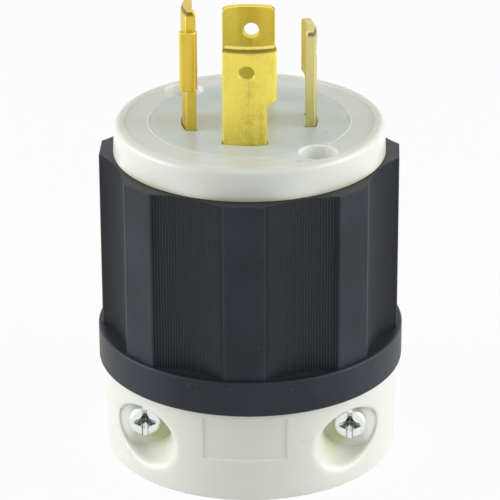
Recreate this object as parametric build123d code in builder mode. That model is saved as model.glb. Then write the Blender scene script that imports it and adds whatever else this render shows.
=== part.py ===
"""Twist-lock power plug, four blades, with its cord clamp in the rear housing.

Frame: Z is the plug's axis and points out of the face, along the blades.
The origin is the centre of the rear housing's bottom, and all sizes are in mm.
"""
import os
from math import asin, cos, radians, sin, sqrt

from build123d import *

# Lengths along the axis
housing_height = 15.8
shell_length = 36.0
ring_height = 6.0
flange_thickness = 5.2
spigot_height = 8.7
retainer_thickness = 2.5
hub_height = 2.5

# Shell
ring_diameter = 50.3
land_apothem = 24.3
land_width = 6.4
land_count = 8
scallop_radius = 16.7
rib_count = 28
rib_depth = 0.16
shell_bore = 41.0
key_width = 3.0
key_height = 1.0
key_azimuth = 45.0
shell_edge = 0.35

# Fits
spigot_clearance = 0.25
key_clearance = 0.2
slot_clearance = 0.1
thread_clearance = 0.06
hole_clearance = 0.2
slide_clearance = 0.2

# Front body
collar_diameter = 44.24
face_diameter = 43.84
face_edge = 0.9
face_recess = 0.15
rim_radius = 20.2
ridge_radius = 16.34
ridge_width = 0.35
core_radius = 3.8
core_roof = 4.0
hub_wall = 1.2

# Blades
blade_outer_radius = 10.9
blade_thickness = 1.45
blade_reach = 16.0
ground_reach = 20.0
line_heel = 3.85
neutral_heel = 2.6
ground_heel = 2.2
stem_side = 3.15
hook_side = 4.7
hook_height = 6.9
hook_drop = 0.6
hook_radius = 0.8
tip_corner = 0.8
tip_bevel_height = 1.0
tip_bevel_depth = 0.45
blade_hole_diameter = 2.5
blade_hole_height = 11.85
tab_bottom = 6.75
tab_height = 9.9
tab_side = 5.6
tab_width = 2.8
tab_bend = 1.3
tab_edge = 0.6

# Terminals
terminal_height = 7.0
chamber_width = 8.6
chamber_height = 13.5
terminal_screw_diameter = 3.5
terminal_head_diameter = 7.0
terminal_head_height = 2.4
terminal_slot_width = 1.0
terminal_slot_depth = 1.2
terminal_tip_reach = 1.75
wire_gap = 2.4
plate_thickness = 1.5
plate_width = 7.8
plate_height = 9.6
plate_corner = 1.0

# Long screws that hold the front body, the shell and the rear housing together
assembly_radius = 17.5
assembly_azimuth = -49.5
assembly_count = 2
assembly_diameter = 3.0
assembly_head_diameter = 5.4
assembly_head_height = 2.0
assembly_recess_diameter = 5.8
assembly_recess_depth = 4.5
insert_diameter = 4.2
insert_length = 8.0
insert_overrun = 1.0
boss_radius = 3.2

# Rear housing and cord clamp
housing_diameter = 48.5
housing_edge = 0.8
spigot_wall = 2.0
deck_height = 14.3
cord_hole_diameter = 18.4
passage_diameter = 19.0
cord_mouth_edge = 1.0
cord_lip = 3.0
saddle_rib_height = 0.5
saddle_rib_width = 0.8
saddle_rib_count = 3
clamp_height = 9.3
clamp_screw_diameter = 2.84
clamp_head_diameter = 5.3
clamp_head_height = 1.9
clamp_slot_width = 0.75
clamp_slot_depth = 0.9
clamp_cross_width = 3.5
pocket_floor = 12.8
pocket_floor_radius = 4.3
pocket_floor_drop = 0.6
pocket_mouth_radius = 5.6
pocket_mouth_drop = 1.4
panel_width = 13.7
panel_height = 7.2
panel_centre = 11.1
panel_depth = 0.25
panel_corner = 0.5
jaw_front = 2.2
jaw_back = 9.8
jaw_width = 40.0
jaw_end = 3.25
jaw_top = 13.4
saddle_radius = 9.5
saddle_offset = 2.6
jaw_corner = 0.8
nut_across_flats = 5.5
nut_thickness = 2.4
nut_recess = 0.2

# Heights that follow from the lengths
ring_top = housing_height + ring_height
shell_top = housing_height + shell_length
face = shell_top + flange_thickness
spigot_top = housing_height + spigot_height
body_bottom = spigot_top + retainer_thickness
terminal_axis = body_bottom + terminal_height
leg_bottom = body_bottom + slide_clearance

# Radii that follow from the fits
bore_radius = shell_bore / 2
spigot_radius = bore_radius - spigot_clearance
room_radius = spigot_radius - spigot_wall
blade_inner_radius = blade_outer_radius - blade_thickness
plate_inner = blade_outer_radius + wire_gap
plate_outer = plate_inner + plate_thickness
terminal_tip_radius = blade_inner_radius - terminal_tip_reach
clamp_offset = jaw_width / 2 - jaw_end

# Each blade's azimuth, its two edges and its reach. Seen from the face, the hooks lie counter-clockwise
blades = {
    "line_x": (-90, (-line_heel, stem_side), blade_reach),
    "neutral": (0, (-neutral_heel, stem_side), blade_reach),
    "line_y": (90, (-line_heel, stem_side), blade_reach),
    "ground": (180, (-ground_heel, hook_side), ground_reach),
}


def side_plane(azimuth):
    """Plane through the axis whose normal points outwards and whose x runs counter-clockwise."""
    turn = radians(azimuth)
    return Plane(origin=(0, 0, 0), x_dir=(-sin(turn), cos(turn), 0), z_dir=(cos(turn), sin(turn), 0))


def plan_plane(azimuth, height):
    """Level plane whose x runs outwards and whose y runs counter-clockwise."""
    turn = radians(azimuth)
    return Plane(origin=(0, 0, height), x_dir=(cos(turn), sin(turn), 0), z_dir=(0, 0, 1))


def save(name, part):
    """Label one finished piece and write it as its own file."""
    part.label = name
    export_step(part, f"parts/{name}.step")


os.makedirs("parts", exist_ok=True)

# Shell: a bottom ring, eight flat lands and between them eight hollow scallops with fine upright ribs
land_corner_radius = sqrt(land_apothem**2 + (land_width / 2) ** 2)
land_half_angle = asin(land_width / 2 / land_corner_radius)
scallop_half_angle = radians(180 / land_count) - land_half_angle
scallop_half_chord = land_corner_radius * sin(scallop_half_angle)
scallop_centre = (land_corner_radius * cos(scallop_half_angle)
                  + sqrt(scallop_radius**2 - scallop_half_chord**2))
half_pitch = asin(scallop_half_chord / scallop_radius) / rib_count

# What one scallop takes away, with the scallop's centre at the origin: rib tips and grooves in turn
scallop_outline = [(0, 0)]
for index in range(2 * rib_count + 1):
    turn = (index - rib_count) * half_pitch
    depth = scallop_radius + rib_depth * (index % 2)
    scallop_outline.append((-depth * cos(turn), -depth * sin(turn)))

with BuildPart() as shell:
    with BuildSketch(Plane.XY.offset(housing_height)):
        Circle(ring_diameter / 2)
    extrude(amount=ring_height)
    fillet(shell.edges().filter_by(GeomType.CIRCLE), shell_edge)
    with BuildSketch(Plane.XY.offset(ring_top)):
        RegularPolygon(land_apothem, land_count, major_radius=False, rotation=180 / land_count)
        with PolarLocations(scallop_centre, land_count, start_angle=180 / land_count):
            Polygon(scallop_outline, align=None, mode=Mode.SUBTRACT)
    extrude(amount=shell_length - ring_height)
    with BuildSketch(Plane.XY.offset(housing_height)):
        Circle(bore_radius)
        for turn in (0, 180):
            with Locations(plan_plane(key_azimuth + turn, 0).location):
                with Locations((bore_radius, 0)):
                    Rectangle(2 * key_height, key_width, mode=Mode.SUBTRACT)
    extrude(amount=shell_length, mode=Mode.SUBTRACT)
save("shell", shell.part)

# Front body: the face flange, and behind it the block that carries the terminals
with BuildPart() as front_body:
    with BuildSketch(Plane.XZ):
        with BuildLine():
            Polyline(
                (0, body_bottom),
                (spigot_radius, body_bottom),
                (spigot_radius, shell_top),
                (collar_diameter / 2, shell_top),
                (face_diameter / 2, face),
                (rim_radius, face),
                (rim_radius, face - face_recess),
                (0, face - face_recess),
                close=True,
            )
        make_face()
    revolve(axis=Axis.Z)
    rim = front_body.edges().filter_by(GeomType.CIRCLE).group_by(Axis.Z)[-1]
    fillet(rim.sort_by(SortBy.RADIUS)[-1], face_edge)
    # Fine ridge in the sunk face, as high as the rim
    with BuildSketch(Plane.XY.offset(face)):
        Circle(ridge_radius + ridge_width / 2)
        Circle(ridge_radius - ridge_width / 2, mode=Mode.SUBTRACT)
    extrude(amount=-face_recess)
    # Hollow core
    with BuildSketch(Plane.XY.offset(body_bottom)):
        Circle(core_radius)
    extrude(amount=shell_top - body_bottom - core_roof, mode=Mode.SUBTRACT)
    # Key grooves for the shell
    with BuildSketch(Plane.XY.offset(body_bottom)):
        for turn in (0, 180):
            with Locations(plan_plane(key_azimuth + turn, 0).location):
                with Locations((spigot_radius, 0)):
                    Rectangle(2 * (key_height + key_clearance), key_width + 2 * key_clearance)
    extrude(amount=shell_top - body_bottom, mode=Mode.SUBTRACT)
    # Terminal chambers, blade slots and the relief behind each terminal screw
    for azimuth, stem, reach in blades.values():
        with BuildSketch(side_plane(azimuth).offset(blade_outer_radius - blade_thickness / 2)):
            with Locations(((stem[0] + stem[1]) / 2, body_bottom + chamber_height / 2)):
                Rectangle(chamber_width, chamber_height)
        extrude(amount=spigot_radius, mode=Mode.SUBTRACT)
        with BuildSketch(side_plane(azimuth).offset(terminal_tip_radius - hole_clearance)):
            with Locations(((stem[0] + stem[1]) / 2, terminal_axis)):
                Circle(terminal_screw_diameter / 2 + hole_clearance)
        extrude(amount=terminal_tip_reach + hole_clearance, mode=Mode.SUBTRACT)
        with BuildSketch(plan_plane(azimuth, body_bottom)):
            Circle(blade_outer_radius + slot_clearance)
            Circle(blade_inner_radius - slot_clearance, mode=Mode.SUBTRACT)
            with Locations((blade_outer_radius, (stem[0] + stem[1]) / 2)):
                Rectangle(
                    blade_outer_radius,
                    stem[1] - stem[0] + 2 * slot_clearance,
                    mode=Mode.INTERSECT,
                )
        extrude(amount=face - body_bottom, mode=Mode.SUBTRACT)
    # Holes and recesses of the long screws
    with BuildSketch(Plane.XY.offset(body_bottom)):
        with PolarLocations(assembly_radius, assembly_count, start_angle=assembly_azimuth):
            Circle(assembly_diameter / 2 + hole_clearance)
    extrude(amount=face - body_bottom, mode=Mode.SUBTRACT)
    with BuildSketch(Plane.XY.offset(face)):
        with PolarLocations(assembly_radius, assembly_count, start_angle=assembly_azimuth):
            Circle(assembly_recess_diameter / 2)
    extrude(amount=-assembly_recess_depth, mode=Mode.SUBTRACT)
save("front_body", front_body.part)


def round_corner(sketch, point, radius):
    """Round the corner of a flat outline that lies next to a point."""
    fillet(sketch.vertices().sort_by_distance(point)[0], radius)


def stamp_blade(azimuth, stem, reach, hooked):
    """One blade: a flat outline with x counter-clockwise and y up, formed to the blades' circle."""
    left, right = stem
    tip = face + reach
    hook = face + hook_height
    middle = (left + right) / 2
    with BuildPart() as blade:
        with BuildSketch(side_plane(azimuth)) as outline:
            with Locations((middle, leg_bottom)):
                Rectangle(right - left, tip - leg_bottom, align=(Align.CENTER, Align.MIN))
            if hooked:
                with BuildLine():
                    Polyline(
                        (left, hook - hook_drop),
                        (right, hook - hook_drop),
                        (hook_side, hook),
                        (hook_side, tip),
                        (left, tip),
                        close=True,
                    )
                make_face()
                round_corner(outline, (right, hook - hook_drop), hook_radius)
                round_corner(outline, (hook_side, hook), hook_radius / 2)
                with Locations((0, face + blade_hole_height)):
                    Circle(blade_hole_diameter / 2, mode=Mode.SUBTRACT)
            round_corner(outline, (left, tip), tip_corner)
            round_corner(outline, (hook_side, tip), tip_corner)
        extrude(amount=blade_outer_radius)
        with BuildSketch(Plane.XY.offset(leg_bottom)):
            Circle(blade_outer_radius)
            Circle(blade_inner_radius, mode=Mode.SUBTRACT)
        extrude(amount=tip - leg_bottom, mode=Mode.INTERSECT)
        # Bevel along the outside of the tip
        with BuildSketch(Plane.XZ):
            with BuildLine():
                Polyline(
                    (blade_outer_radius - tip_bevel_depth, tip),
                    (blade_outer_radius, tip - tip_bevel_height),
                    (blade_outer_radius + tip_bevel_depth, tip - tip_bevel_height),
                    (blade_outer_radius + tip_bevel_depth, tip),
                    close=True,
                )
            make_face()
        revolve(axis=Axis.Z, mode=Mode.SUBTRACT)
        with BuildSketch(side_plane(azimuth)):
            with Locations((middle, terminal_axis)):
                Circle(terminal_screw_diameter / 2 + thread_clearance)
        extrude(amount=blade_outer_radius, mode=Mode.SUBTRACT)
    return blade.part


for name in ("line_x", "line_y", "neutral"):
    save(f"blade_{name}", stamp_blade(*blades[name], hooked=True))

# Ground blade: longer, and its hook is bent outwards instead
with BuildPart() as blade_ground:
    add(stamp_blade(*blades["ground"], hooked=False))
    with BuildSketch(plan_plane(blades["ground"][0], face + tab_bottom)) as tab:
        with Locations((blade_outer_radius - tab_width / 2, tab_side - blade_thickness / 2)):
            Rectangle(tab_width, blade_thickness)
        round_corner(tab, (blade_outer_radius - tab_width, tab_side), tab_bend)
        round_corner(tab, (blade_outer_radius, tab_side), tab_edge)
    extrude(amount=tab_height)
save("blade_ground", blade_ground.part)

# Terminal screws with their wire plates, one set outside each blade's leg
for name, (azimuth, stem, reach) in blades.items():
    middle = ((stem[0] + stem[1]) / 2, terminal_axis)
    with BuildPart() as wire_plate:
        with BuildSketch(side_plane(azimuth).offset(plate_inner)) as plate:
            with Locations(middle):
                RectangleRounded(plate_width, plate_height, plate_corner)
                Circle(terminal_screw_diameter / 2 + hole_clearance, mode=Mode.SUBTRACT)
        extrude(amount=plate_thickness)
    save(f"wire_plate_{name}", wire_plate.part)

    with BuildPart() as terminal_screw:
        with BuildSketch(side_plane(azimuth).offset(terminal_tip_radius)):
            with Locations(middle):
                Circle(terminal_screw_diameter / 2)
        extrude(amount=plate_outer - terminal_tip_radius)
        with BuildSketch(side_plane(azimuth).offset(plate_outer)):
            with Locations(middle):
                Circle(terminal_head_diameter / 2)
        extrude(amount=terminal_head_height)
        head_edge = terminal_screw.edges().filter_by(GeomType.CIRCLE).sort_by_distance(
            side_plane(azimuth).from_local_coords((middle[0], middle[1], 2 * spigot_radius))
        )[0]
        fillet(head_edge, terminal_head_height / 4)
        with BuildSketch(side_plane(azimuth).offset(plate_outer + terminal_head_height)):
            with Locations(middle):
                Rectangle(terminal_head_diameter, terminal_slot_width)
        extrude(amount=-terminal_slot_depth, mode=Mode.SUBTRACT)
    save(f"terminal_screw_{name}", terminal_screw.part)

# Terminal retainer: a plate under the front body that backs the blades' legs
window_inner = blade_outer_radius + wire_gap / 4
hub_radius = core_radius - hole_clearance
with BuildPart() as terminal_retainer:
    with BuildSketch(Plane.XY.offset(spigot_top)):
        Circle(spigot_radius)
        Circle(hub_radius - hub_wall, mode=Mode.SUBTRACT)
        for azimuth, stem, reach in blades.values():
            with Locations(plan_plane(azimuth, 0).location):
                with Locations((window_inner + spigot_radius / 2, (stem[0] + stem[1]) / 2)):
                    Rectangle(spigot_radius, chamber_width, mode=Mode.SUBTRACT)
        with PolarLocations(assembly_radius, assembly_count, start_angle=assembly_azimuth):
            Circle(assembly_diameter / 2 + hole_clearance, mode=Mode.SUBTRACT)
        for turn in (0, 180):
            with Locations(plan_plane(key_azimuth + turn, 0).location):
                with Locations((spigot_radius, 0)):
                    Rectangle(
                        2 * (key_height + key_clearance),
                        key_width + 2 * key_clearance,
                        mode=Mode.SUBTRACT,
                    )
    extrude(amount=retainer_thickness)
    # A hub that locates the plate in the front body's core
    with BuildSketch(Plane.XY.offset(body_bottom)):
        Circle(hub_radius)
        Circle(hub_radius - hub_wall, mode=Mode.SUBTRACT)
    extrude(amount=hub_height)
save("terminal_retainer", terminal_retainer.part)

# Rear housing: the cord entry, the clamp's cavity and screw pockets, and the spigot for the shell
with BuildPart() as rear_housing:
    with BuildSketch(Plane.XY):
        Circle(housing_diameter / 2)
    extrude(amount=housing_height)
    fillet(rear_housing.edges().group_by(Axis.Z)[0], housing_edge)
    with BuildSketch(Plane.XY.offset(housing_height)):
        Circle(spigot_radius)
    extrude(amount=spigot_height)
    # Wire room above the deck, with the two screw bosses left standing
    with BuildSketch(Plane.XY.offset(deck_height)):
        Circle(room_radius)
        with PolarLocations(assembly_radius, assembly_count, start_angle=assembly_azimuth):
            Circle(boss_radius, mode=Mode.SUBTRACT)
    extrude(amount=spigot_top - deck_height, mode=Mode.SUBTRACT)
    # Cord hole in the lip, and above it a wider passage whose front half grips the cord with ribs
    with BuildSketch(Plane.XY):
        Circle(cord_hole_diameter / 2)
    extrude(amount=cord_lip, mode=Mode.SUBTRACT)
    with BuildSketch(Plane.XY.offset(cord_lip)):
        Circle(passage_diameter / 2)
    extrude(amount=deck_height - cord_lip, mode=Mode.SUBTRACT)
    rib_pitch = (deck_height - cord_lip) / saddle_rib_count
    for index in range(saddle_rib_count):
        with BuildSketch(Plane.XY.offset(cord_lip + rib_pitch * (index + 0.5) - saddle_rib_width / 2)):
            Circle(passage_diameter / 2 + saddle_rib_height)
            Circle(passage_diameter / 2 - saddle_rib_height, mode=Mode.SUBTRACT)
            with Locations((0, -passage_diameter / 2)):
                Rectangle(2 * passage_diameter, passage_diameter, mode=Mode.INTERSECT)
        extrude(amount=saddle_rib_width)
    # Cavity of the clamp jaw, open at the top so that the jaw drops in
    with BuildSketch(Plane.XY.offset(cord_lip)):
        with Locations((0, (jaw_front + jaw_back) / 2)):
            Rectangle(jaw_width + 2 * slide_clearance, jaw_back - jaw_front + 2 * slide_clearance)
    extrude(amount=spigot_top - cord_lip, mode=Mode.SUBTRACT)
    # Clamp screws: a pocket for each head, flared and leaning down, and a clear hole to the jaw
    for side in (-1, 1):
        with BuildSketch(Plane.XZ.offset(pocket_floor)):
            with Locations((side * clamp_offset, clamp_height - pocket_floor_drop)):
                Circle(pocket_floor_radius)
        with BuildSketch(Plane.XZ.offset(housing_diameter / 2)):
            with Locations((side * clamp_offset, clamp_height - pocket_mouth_drop)):
                Circle(pocket_mouth_radius)
        loft(mode=Mode.SUBTRACT)
        with BuildSketch(Plane.XZ.offset(-jaw_front)):
            with Locations((side * clamp_offset, clamp_height)):
                Circle(clamp_screw_diameter / 2 + hole_clearance)
        extrude(amount=pocket_floor + jaw_front, mode=Mode.SUBTRACT)
    # Holes for the threaded inserts
    with BuildSketch(Plane.XY.offset(spigot_top)):
        with PolarLocations(assembly_radius, assembly_count, start_angle=assembly_azimuth):
            Circle(insert_diameter / 2 + thread_clearance)
    extrude(amount=-insert_length - insert_overrun, mode=Mode.SUBTRACT)
    # Shallow bare panel at the front
    with BuildSketch(Plane.XZ.offset(passage_diameter / 2)) as panel:
        with Locations((0, panel_centre)):
            RectangleRounded(panel_width, panel_height, panel_corner)
    panel_solid = extrude(amount=housing_diameter / 2, mode=Mode.PRIVATE)
    with BuildSketch(Plane.XY):
        Circle(housing_diameter / 2 - panel_depth)
    inner_wall = extrude(amount=housing_height, mode=Mode.PRIVATE)
    add(panel_solid - inner_wall, mode=Mode.SUBTRACT)
    # Key grooves
    with BuildSketch(Plane.XY.offset(housing_height)):
        for turn in (0, 180):
            with Locations(plan_plane(key_azimuth + turn, 0).location):
                with Locations((spigot_radius, 0)):
                    Rectangle(2 * (key_height + key_clearance), key_width + 2 * key_clearance)
    extrude(amount=spigot_height, mode=Mode.SUBTRACT)
    mouth = rear_housing.edges().filter_by(GeomType.CIRCLE).group_by(Axis.Z)[0]
    fillet(mouth.sort_by(SortBy.RADIUS)[0], cord_mouth_edge)
save("rear_housing", rear_housing.part)

# Clamp jaw: a bar that two screws draw onto the cord
with BuildPart() as clamp_jaw:
    jaw_bottom = cord_lip + slide_clearance
    with BuildSketch(Plane.XY.offset(jaw_bottom)) as jaw:
        with Locations((0, (jaw_front + jaw_back) / 2)):
            RectangleRounded(jaw_width, jaw_back - jaw_front, jaw_corner)
        with Locations((0, -saddle_offset)):
            Circle(saddle_radius, mode=Mode.SUBTRACT)
    extrude(amount=jaw_top - jaw_bottom)
    for side in (-1, 1):
        with BuildSketch(Plane.XZ.offset(-jaw_back)):
            with Locations((side * clamp_offset, clamp_height)):
                Circle(clamp_screw_diameter / 2 + hole_clearance)
        extrude(amount=jaw_back - jaw_front, mode=Mode.SUBTRACT)
        with BuildSketch(Plane.XZ.offset(-jaw_back)):
            with Locations((side * clamp_offset, clamp_height)):
                RegularPolygon(
                    nut_across_flats / 2 + thread_clearance, 6, major_radius=False, rotation=30
                )
        extrude(amount=nut_thickness + nut_recess, mode=Mode.SUBTRACT)
save("clamp_jaw", clamp_jaw.part)

# Clamp screws and the nuts in the jaw
nut_back = jaw_back - nut_recess
for name, side in (("left", -1), ("right", 1)):
    centre = (side * clamp_offset, clamp_height)
    with BuildPart() as clamp_screw:
        with BuildSketch(Plane.XZ.offset(-nut_back)):
            with Locations(centre):
                Circle(clamp_screw_diameter / 2)
        extrude(amount=pocket_floor + nut_back)
        with BuildSketch(Plane.XZ.offset(pocket_floor)):
            with Locations(centre):
                Circle(clamp_head_diameter / 2)
        extrude(amount=clamp_head_height)
        head_edge = clamp_screw.edges().group_by(Axis.Y)[0]
        fillet(head_edge, clamp_head_height / 2)
        with BuildSketch(Plane.XZ.offset(pocket_floor + clamp_head_height)):
            with Locations(centre):
                Rectangle(clamp_slot_width, clamp_head_diameter)
                Rectangle(clamp_cross_width, clamp_slot_width)
        extrude(amount=-clamp_slot_depth, mode=Mode.SUBTRACT)
    save(f"clamp_screw_{name}", clamp_screw.part)

    with BuildPart() as clamp_nut:
        with BuildSketch(Plane.XZ.offset(-nut_back)):
            with Locations(centre):
                RegularPolygon(nut_across_flats / 2, 6, major_radius=False, rotation=30)
                Circle(clamp_screw_diameter / 2 + thread_clearance, mode=Mode.SUBTRACT)
        extrude(amount=nut_thickness)
    save(f"clamp_nut_{name}", clamp_nut.part)

# Long screws from the face, and the threaded inserts that they reach in the rear housing
screw_seat = face - assembly_recess_depth
screw_tip = spigot_top - insert_length
for name, turn in (("front", 0), ("back", 180)):
    azimuth = assembly_azimuth + turn
    with BuildPart() as assembly_screw:
        with BuildSketch(plan_plane(azimuth, screw_tip)):
            with Locations((assembly_radius, 0)):
                Circle(assembly_diameter / 2)
        extrude(amount=screw_seat - screw_tip)
        with BuildSketch(plan_plane(azimuth, screw_seat)):
            with Locations((assembly_radius, 0)):
                Circle(assembly_head_diameter / 2)
        extrude(amount=assembly_head_height)
        fillet(assembly_screw.edges().group_by(Axis.Z)[-1], assembly_head_height / 2)
        with BuildSketch(plan_plane(azimuth, screw_seat + assembly_head_height)):
            with Locations((assembly_radius, 0)):
                Rectangle(assembly_head_diameter, clamp_slot_width)
        extrude(amount=-clamp_slot_depth, mode=Mode.SUBTRACT)
    save(f"assembly_screw_{name}", assembly_screw.part)

    with BuildPart() as assembly_insert:
        with BuildSketch(plan_plane(azimuth, spigot_top)):
            with Locations((assembly_radius, 0)):
                Circle(insert_diameter / 2)
                Circle(assembly_diameter / 2 + thread_clearance, mode=Mode.SUBTRACT)
        extrude(amount=-insert_length)
    save(f"assembly_insert_{name}", assembly_insert.part)
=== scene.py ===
"""Looks of a twist-lock power plug: moulded nylon, stamped brass and plated screws.

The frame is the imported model's: Z runs up the plug's axis, out of its face, and lengths are metres.
Meshes are drawn in millimetres, and settle() turns a finished one into metres.
"""
from math import asin, ceil, cos, degrees, hypot, pi, radians, sin, sqrt, tan

import bmesh
import bpy
from bpy.props import FloatProperty, FloatVectorProperty, IntProperty, PointerProperty
from mathutils import Matrix, Vector


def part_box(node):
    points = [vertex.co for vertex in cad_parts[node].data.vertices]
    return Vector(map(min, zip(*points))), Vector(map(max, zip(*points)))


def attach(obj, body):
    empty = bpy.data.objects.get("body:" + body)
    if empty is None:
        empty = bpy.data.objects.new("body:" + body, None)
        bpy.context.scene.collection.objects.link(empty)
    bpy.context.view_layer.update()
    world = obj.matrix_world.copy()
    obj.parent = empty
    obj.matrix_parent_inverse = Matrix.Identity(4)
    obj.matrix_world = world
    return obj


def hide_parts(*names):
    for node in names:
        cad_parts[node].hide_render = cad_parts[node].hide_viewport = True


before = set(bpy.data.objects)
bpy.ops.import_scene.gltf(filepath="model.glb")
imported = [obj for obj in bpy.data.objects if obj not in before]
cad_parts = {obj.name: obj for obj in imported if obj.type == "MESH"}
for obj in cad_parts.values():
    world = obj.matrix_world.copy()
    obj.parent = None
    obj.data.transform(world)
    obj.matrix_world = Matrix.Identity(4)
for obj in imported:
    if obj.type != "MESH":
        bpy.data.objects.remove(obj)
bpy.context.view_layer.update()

bl_info = {
    "name": "Locking Power Plug",
    "version": (1, 0, 0),
    "blender": (4, 5, 0),
    "location": "View3D > Sidebar > Plug",
    "description": "Dresses a twist-lock power plug in nylon, brass and plated steel",
    "category": "Object",
}

MM = 0.001
BODY = "root"
WELD = 0.0005


def corners_of(node):
    """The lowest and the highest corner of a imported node, in millimetres."""
    low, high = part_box(node)
    return low / MM, high / MM


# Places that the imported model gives, in millimetres
SHELL_LOW, SHELL_HIGH = corners_of("shell")
FRONT_LOW, FRONT_HIGH = corners_of("front_body")
REAR_HIGH = corners_of("rear_housing")[1]
JAW_LOW, JAW_HIGH = corners_of("clamp_jaw")
FACE = FRONT_HIGH.z
HOUSING_RADIUS = REAR_HIGH.x

INNER_BRASS = (
    "wire_plate_line_x",
    "wire_plate_line_y",
    "wire_plate_neutral",
    "wire_plate_ground",
    "assembly_insert_front",
    "assembly_insert_back",
)
INNER_STEEL = (
    "terminal_screw_line_x",
    "terminal_screw_line_y",
    "terminal_screw_neutral",
    "clamp_nut_left",
    "clamp_nut_right",
)

# Sizes that several pieces share, in millimetres
SPIGOT_RADIUS = 20.25
KEY_WIDTH = 3.0
KEY_HEIGHT = 1.0
KEY_CLEARANCE = 0.2
KEY_TURNS = (45, 225)
SLOT_CLEARANCE = 0.1
HOLE_CLEARANCE = 0.2
THREAD_CLEARANCE = 0.06
BLADE_OUTER = 10.9
BLADE_THICKNESS = 1.45
BLADE_INNER = BLADE_OUTER - BLADE_THICKNESS
TERMINAL_HEIGHT = 34.0
TERMINAL_SCREW_RADIUS = 1.75
ASSEMBLY_SCREW_RADIUS = 1.5
CLAMP_SCREW_RADIUS = 1.42
INSERT_RADIUS = 2.1

# Each blade's azimuth and the two edges of its leg. Seen from the face, the hooks lie counter-clockwise
BLADES = {
    "blade_line_x": (-90, -3.85, 3.15),
    "blade_neutral": (0, -2.6, 3.15),
    "blade_line_y": (90, -3.85, 3.15),
    "blade_ground": (180, -2.2, 4.7),
}

# Steps round the turned forms and a corner, and across a blade's slot
FACE_STEPS = 288
PASSAGE_STEPS = 128
HEAD_STEPS = 96
RECESS_STEPS = 72
HOLE_STEPS = 64
CORNER_STEPS = 6
SLOT_STEPS = 16

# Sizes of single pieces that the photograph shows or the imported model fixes, in millimetres
COLLAR_RADIUS = 22.12
COLLAR_TOP_RADIUS = 21.92
RIM_EDGE = 0.9
RIM_RADIUS = 20.2
SUNK_FACE = FACE - 0.15
RIDGE_RADIUS = 16.34
CORE_RADIUS = 3.8
CORE_ROOF = 4.0
CHAMBER_WIDTH = 8.6
CHAMBER_HEIGHT = 13.5
TERMINAL_TIP = 7.7
ASSEMBLY_TURNS = (-49.5, 130.5)
ASSEMBLY_RADIUS = 17.5
ASSEMBLY_HEAD_RADIUS = 2.7
RECESS_RADIUS = 2.9
RECESS_FLOOR = FACE - 4.5
KEY_GAP = 0.01
LAND_COLUMNS = 14
RIB_COLUMNS = 4
COLLAR_CHAMFER = 0.12
RIM_INNER_EDGE = 0.12
FACE_FILLET = 0.03
RIDGE_SIDE = ((0.24, 0), (0.17, 0.03), (0.12, 0.11), (0.05, 0.15))

HOUSING_TOP = SHELL_LOW.z
HOUSING_EDGE = 0.8
SHOULDER_CHAMFER = 0.15
SPIGOT_CHAMFER = 0.3
BEARING_STEP = 1.25
HEIGHT_STEP = 0.95
DECK = 14.3
ROOM_RADIUS = 18.25
BOSS_RADIUS = 3.2
INSERT_FLOOR = 15.5
CORD_RADIUS = 9.2
CORD_EDGE = 1.0
CORD_LIP = 3.0
PASSAGE_RADIUS = 9.5
SLIDE_CLEARANCE = 0.2
SADDLE_RIBS = 3
SADDLE_RIB_WIDTH = 0.8
SADDLE_RIB_HEIGHT = 0.5
PANEL_HALF_WIDTH = 6.85
PANEL_HALF_HEIGHT = 3.6
PANEL_MIDDLE = 11.1
PANEL_DEPTH = 0.25
PANEL_CORNER = 0.5
PANEL_SLOPE = 0.24

CLAMP_OFFSET = 16.75
CLAMP_HEIGHT = 9.3
CLAMP_HEAD_RADIUS = 2.65
POCKET_FLOOR = 12.8
POCKET_FLOOR_RADIUS = 4.3
POCKET_FLOOR_Z = CLAMP_HEIGHT - 0.6
POCKET_MOUTH_RADIUS = 5.6
POCKET_DISH = 1.3
POCKET_MOUTH_Z = CLAMP_HEIGHT - 1.4
POCKET_FOOT_EDGE = 0.5
POCKET_FOOT_GAP = 0.4
DISH_START = 2.2
DISH_WIDTH = 2.4
WINDOW_START = 20
WINDOW_END = 72
WINDOW_LOW = 1.2
WINDOW_HIGH = 14.9

# How finely a screw pocket's patch is divided, and how much its points crowd towards the lip
HALVINGS = 30
FLOOR_STEPS = 5
WALL_STEPS = 16
WALL_CROWDING = 1.7
LIP_STEPS = 12
LIP_CROWDING = 1.8

# How a point is brought to a pocket's surface: rounds, the length of a probe and the least slope
SETTLE_ROUNDS = 8
PROBE = 0.001
LEAST_SLOPE = 0.05

LEG_BOTTOM = 27.2
BLADE_REACH = 16.0
GROUND_REACH = 20.0
HOOK_SIDE = 4.7
HOOK_HEIGHT = 6.9
HOOK_DROP = 0.6
HOOK_RADIUS = 0.8
TIP_CORNER = 0.8
TIP_BEVEL_HEIGHT = 1.0
TIP_BEVEL_DEPTH = 0.45
BLADE_HOLE_RADIUS = 1.25
BLADE_HOLE_HEIGHT = 11.85
TAB_BOTTOM = 6.75
TAB_HEIGHT = 9.9
TAB_SIDE = 5.6
TAB_WIDTH = 2.8
TAB_BEND = 1.3
TAB_EDGE = 0.6
TAB_INNER_EDGE = 0.1
LEG_CORNER = 0.2
BEND_STEP = 0.35

SCREW_TIP_CHAMFER = 0.25
HEAD_FOOT_EDGE = 0.12
HEAD_ROUNDING = 0.38
HEAD_CROWN = 0.06
CROSS_CORNER = 1.7


# Sizes and colours that a user may change

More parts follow.
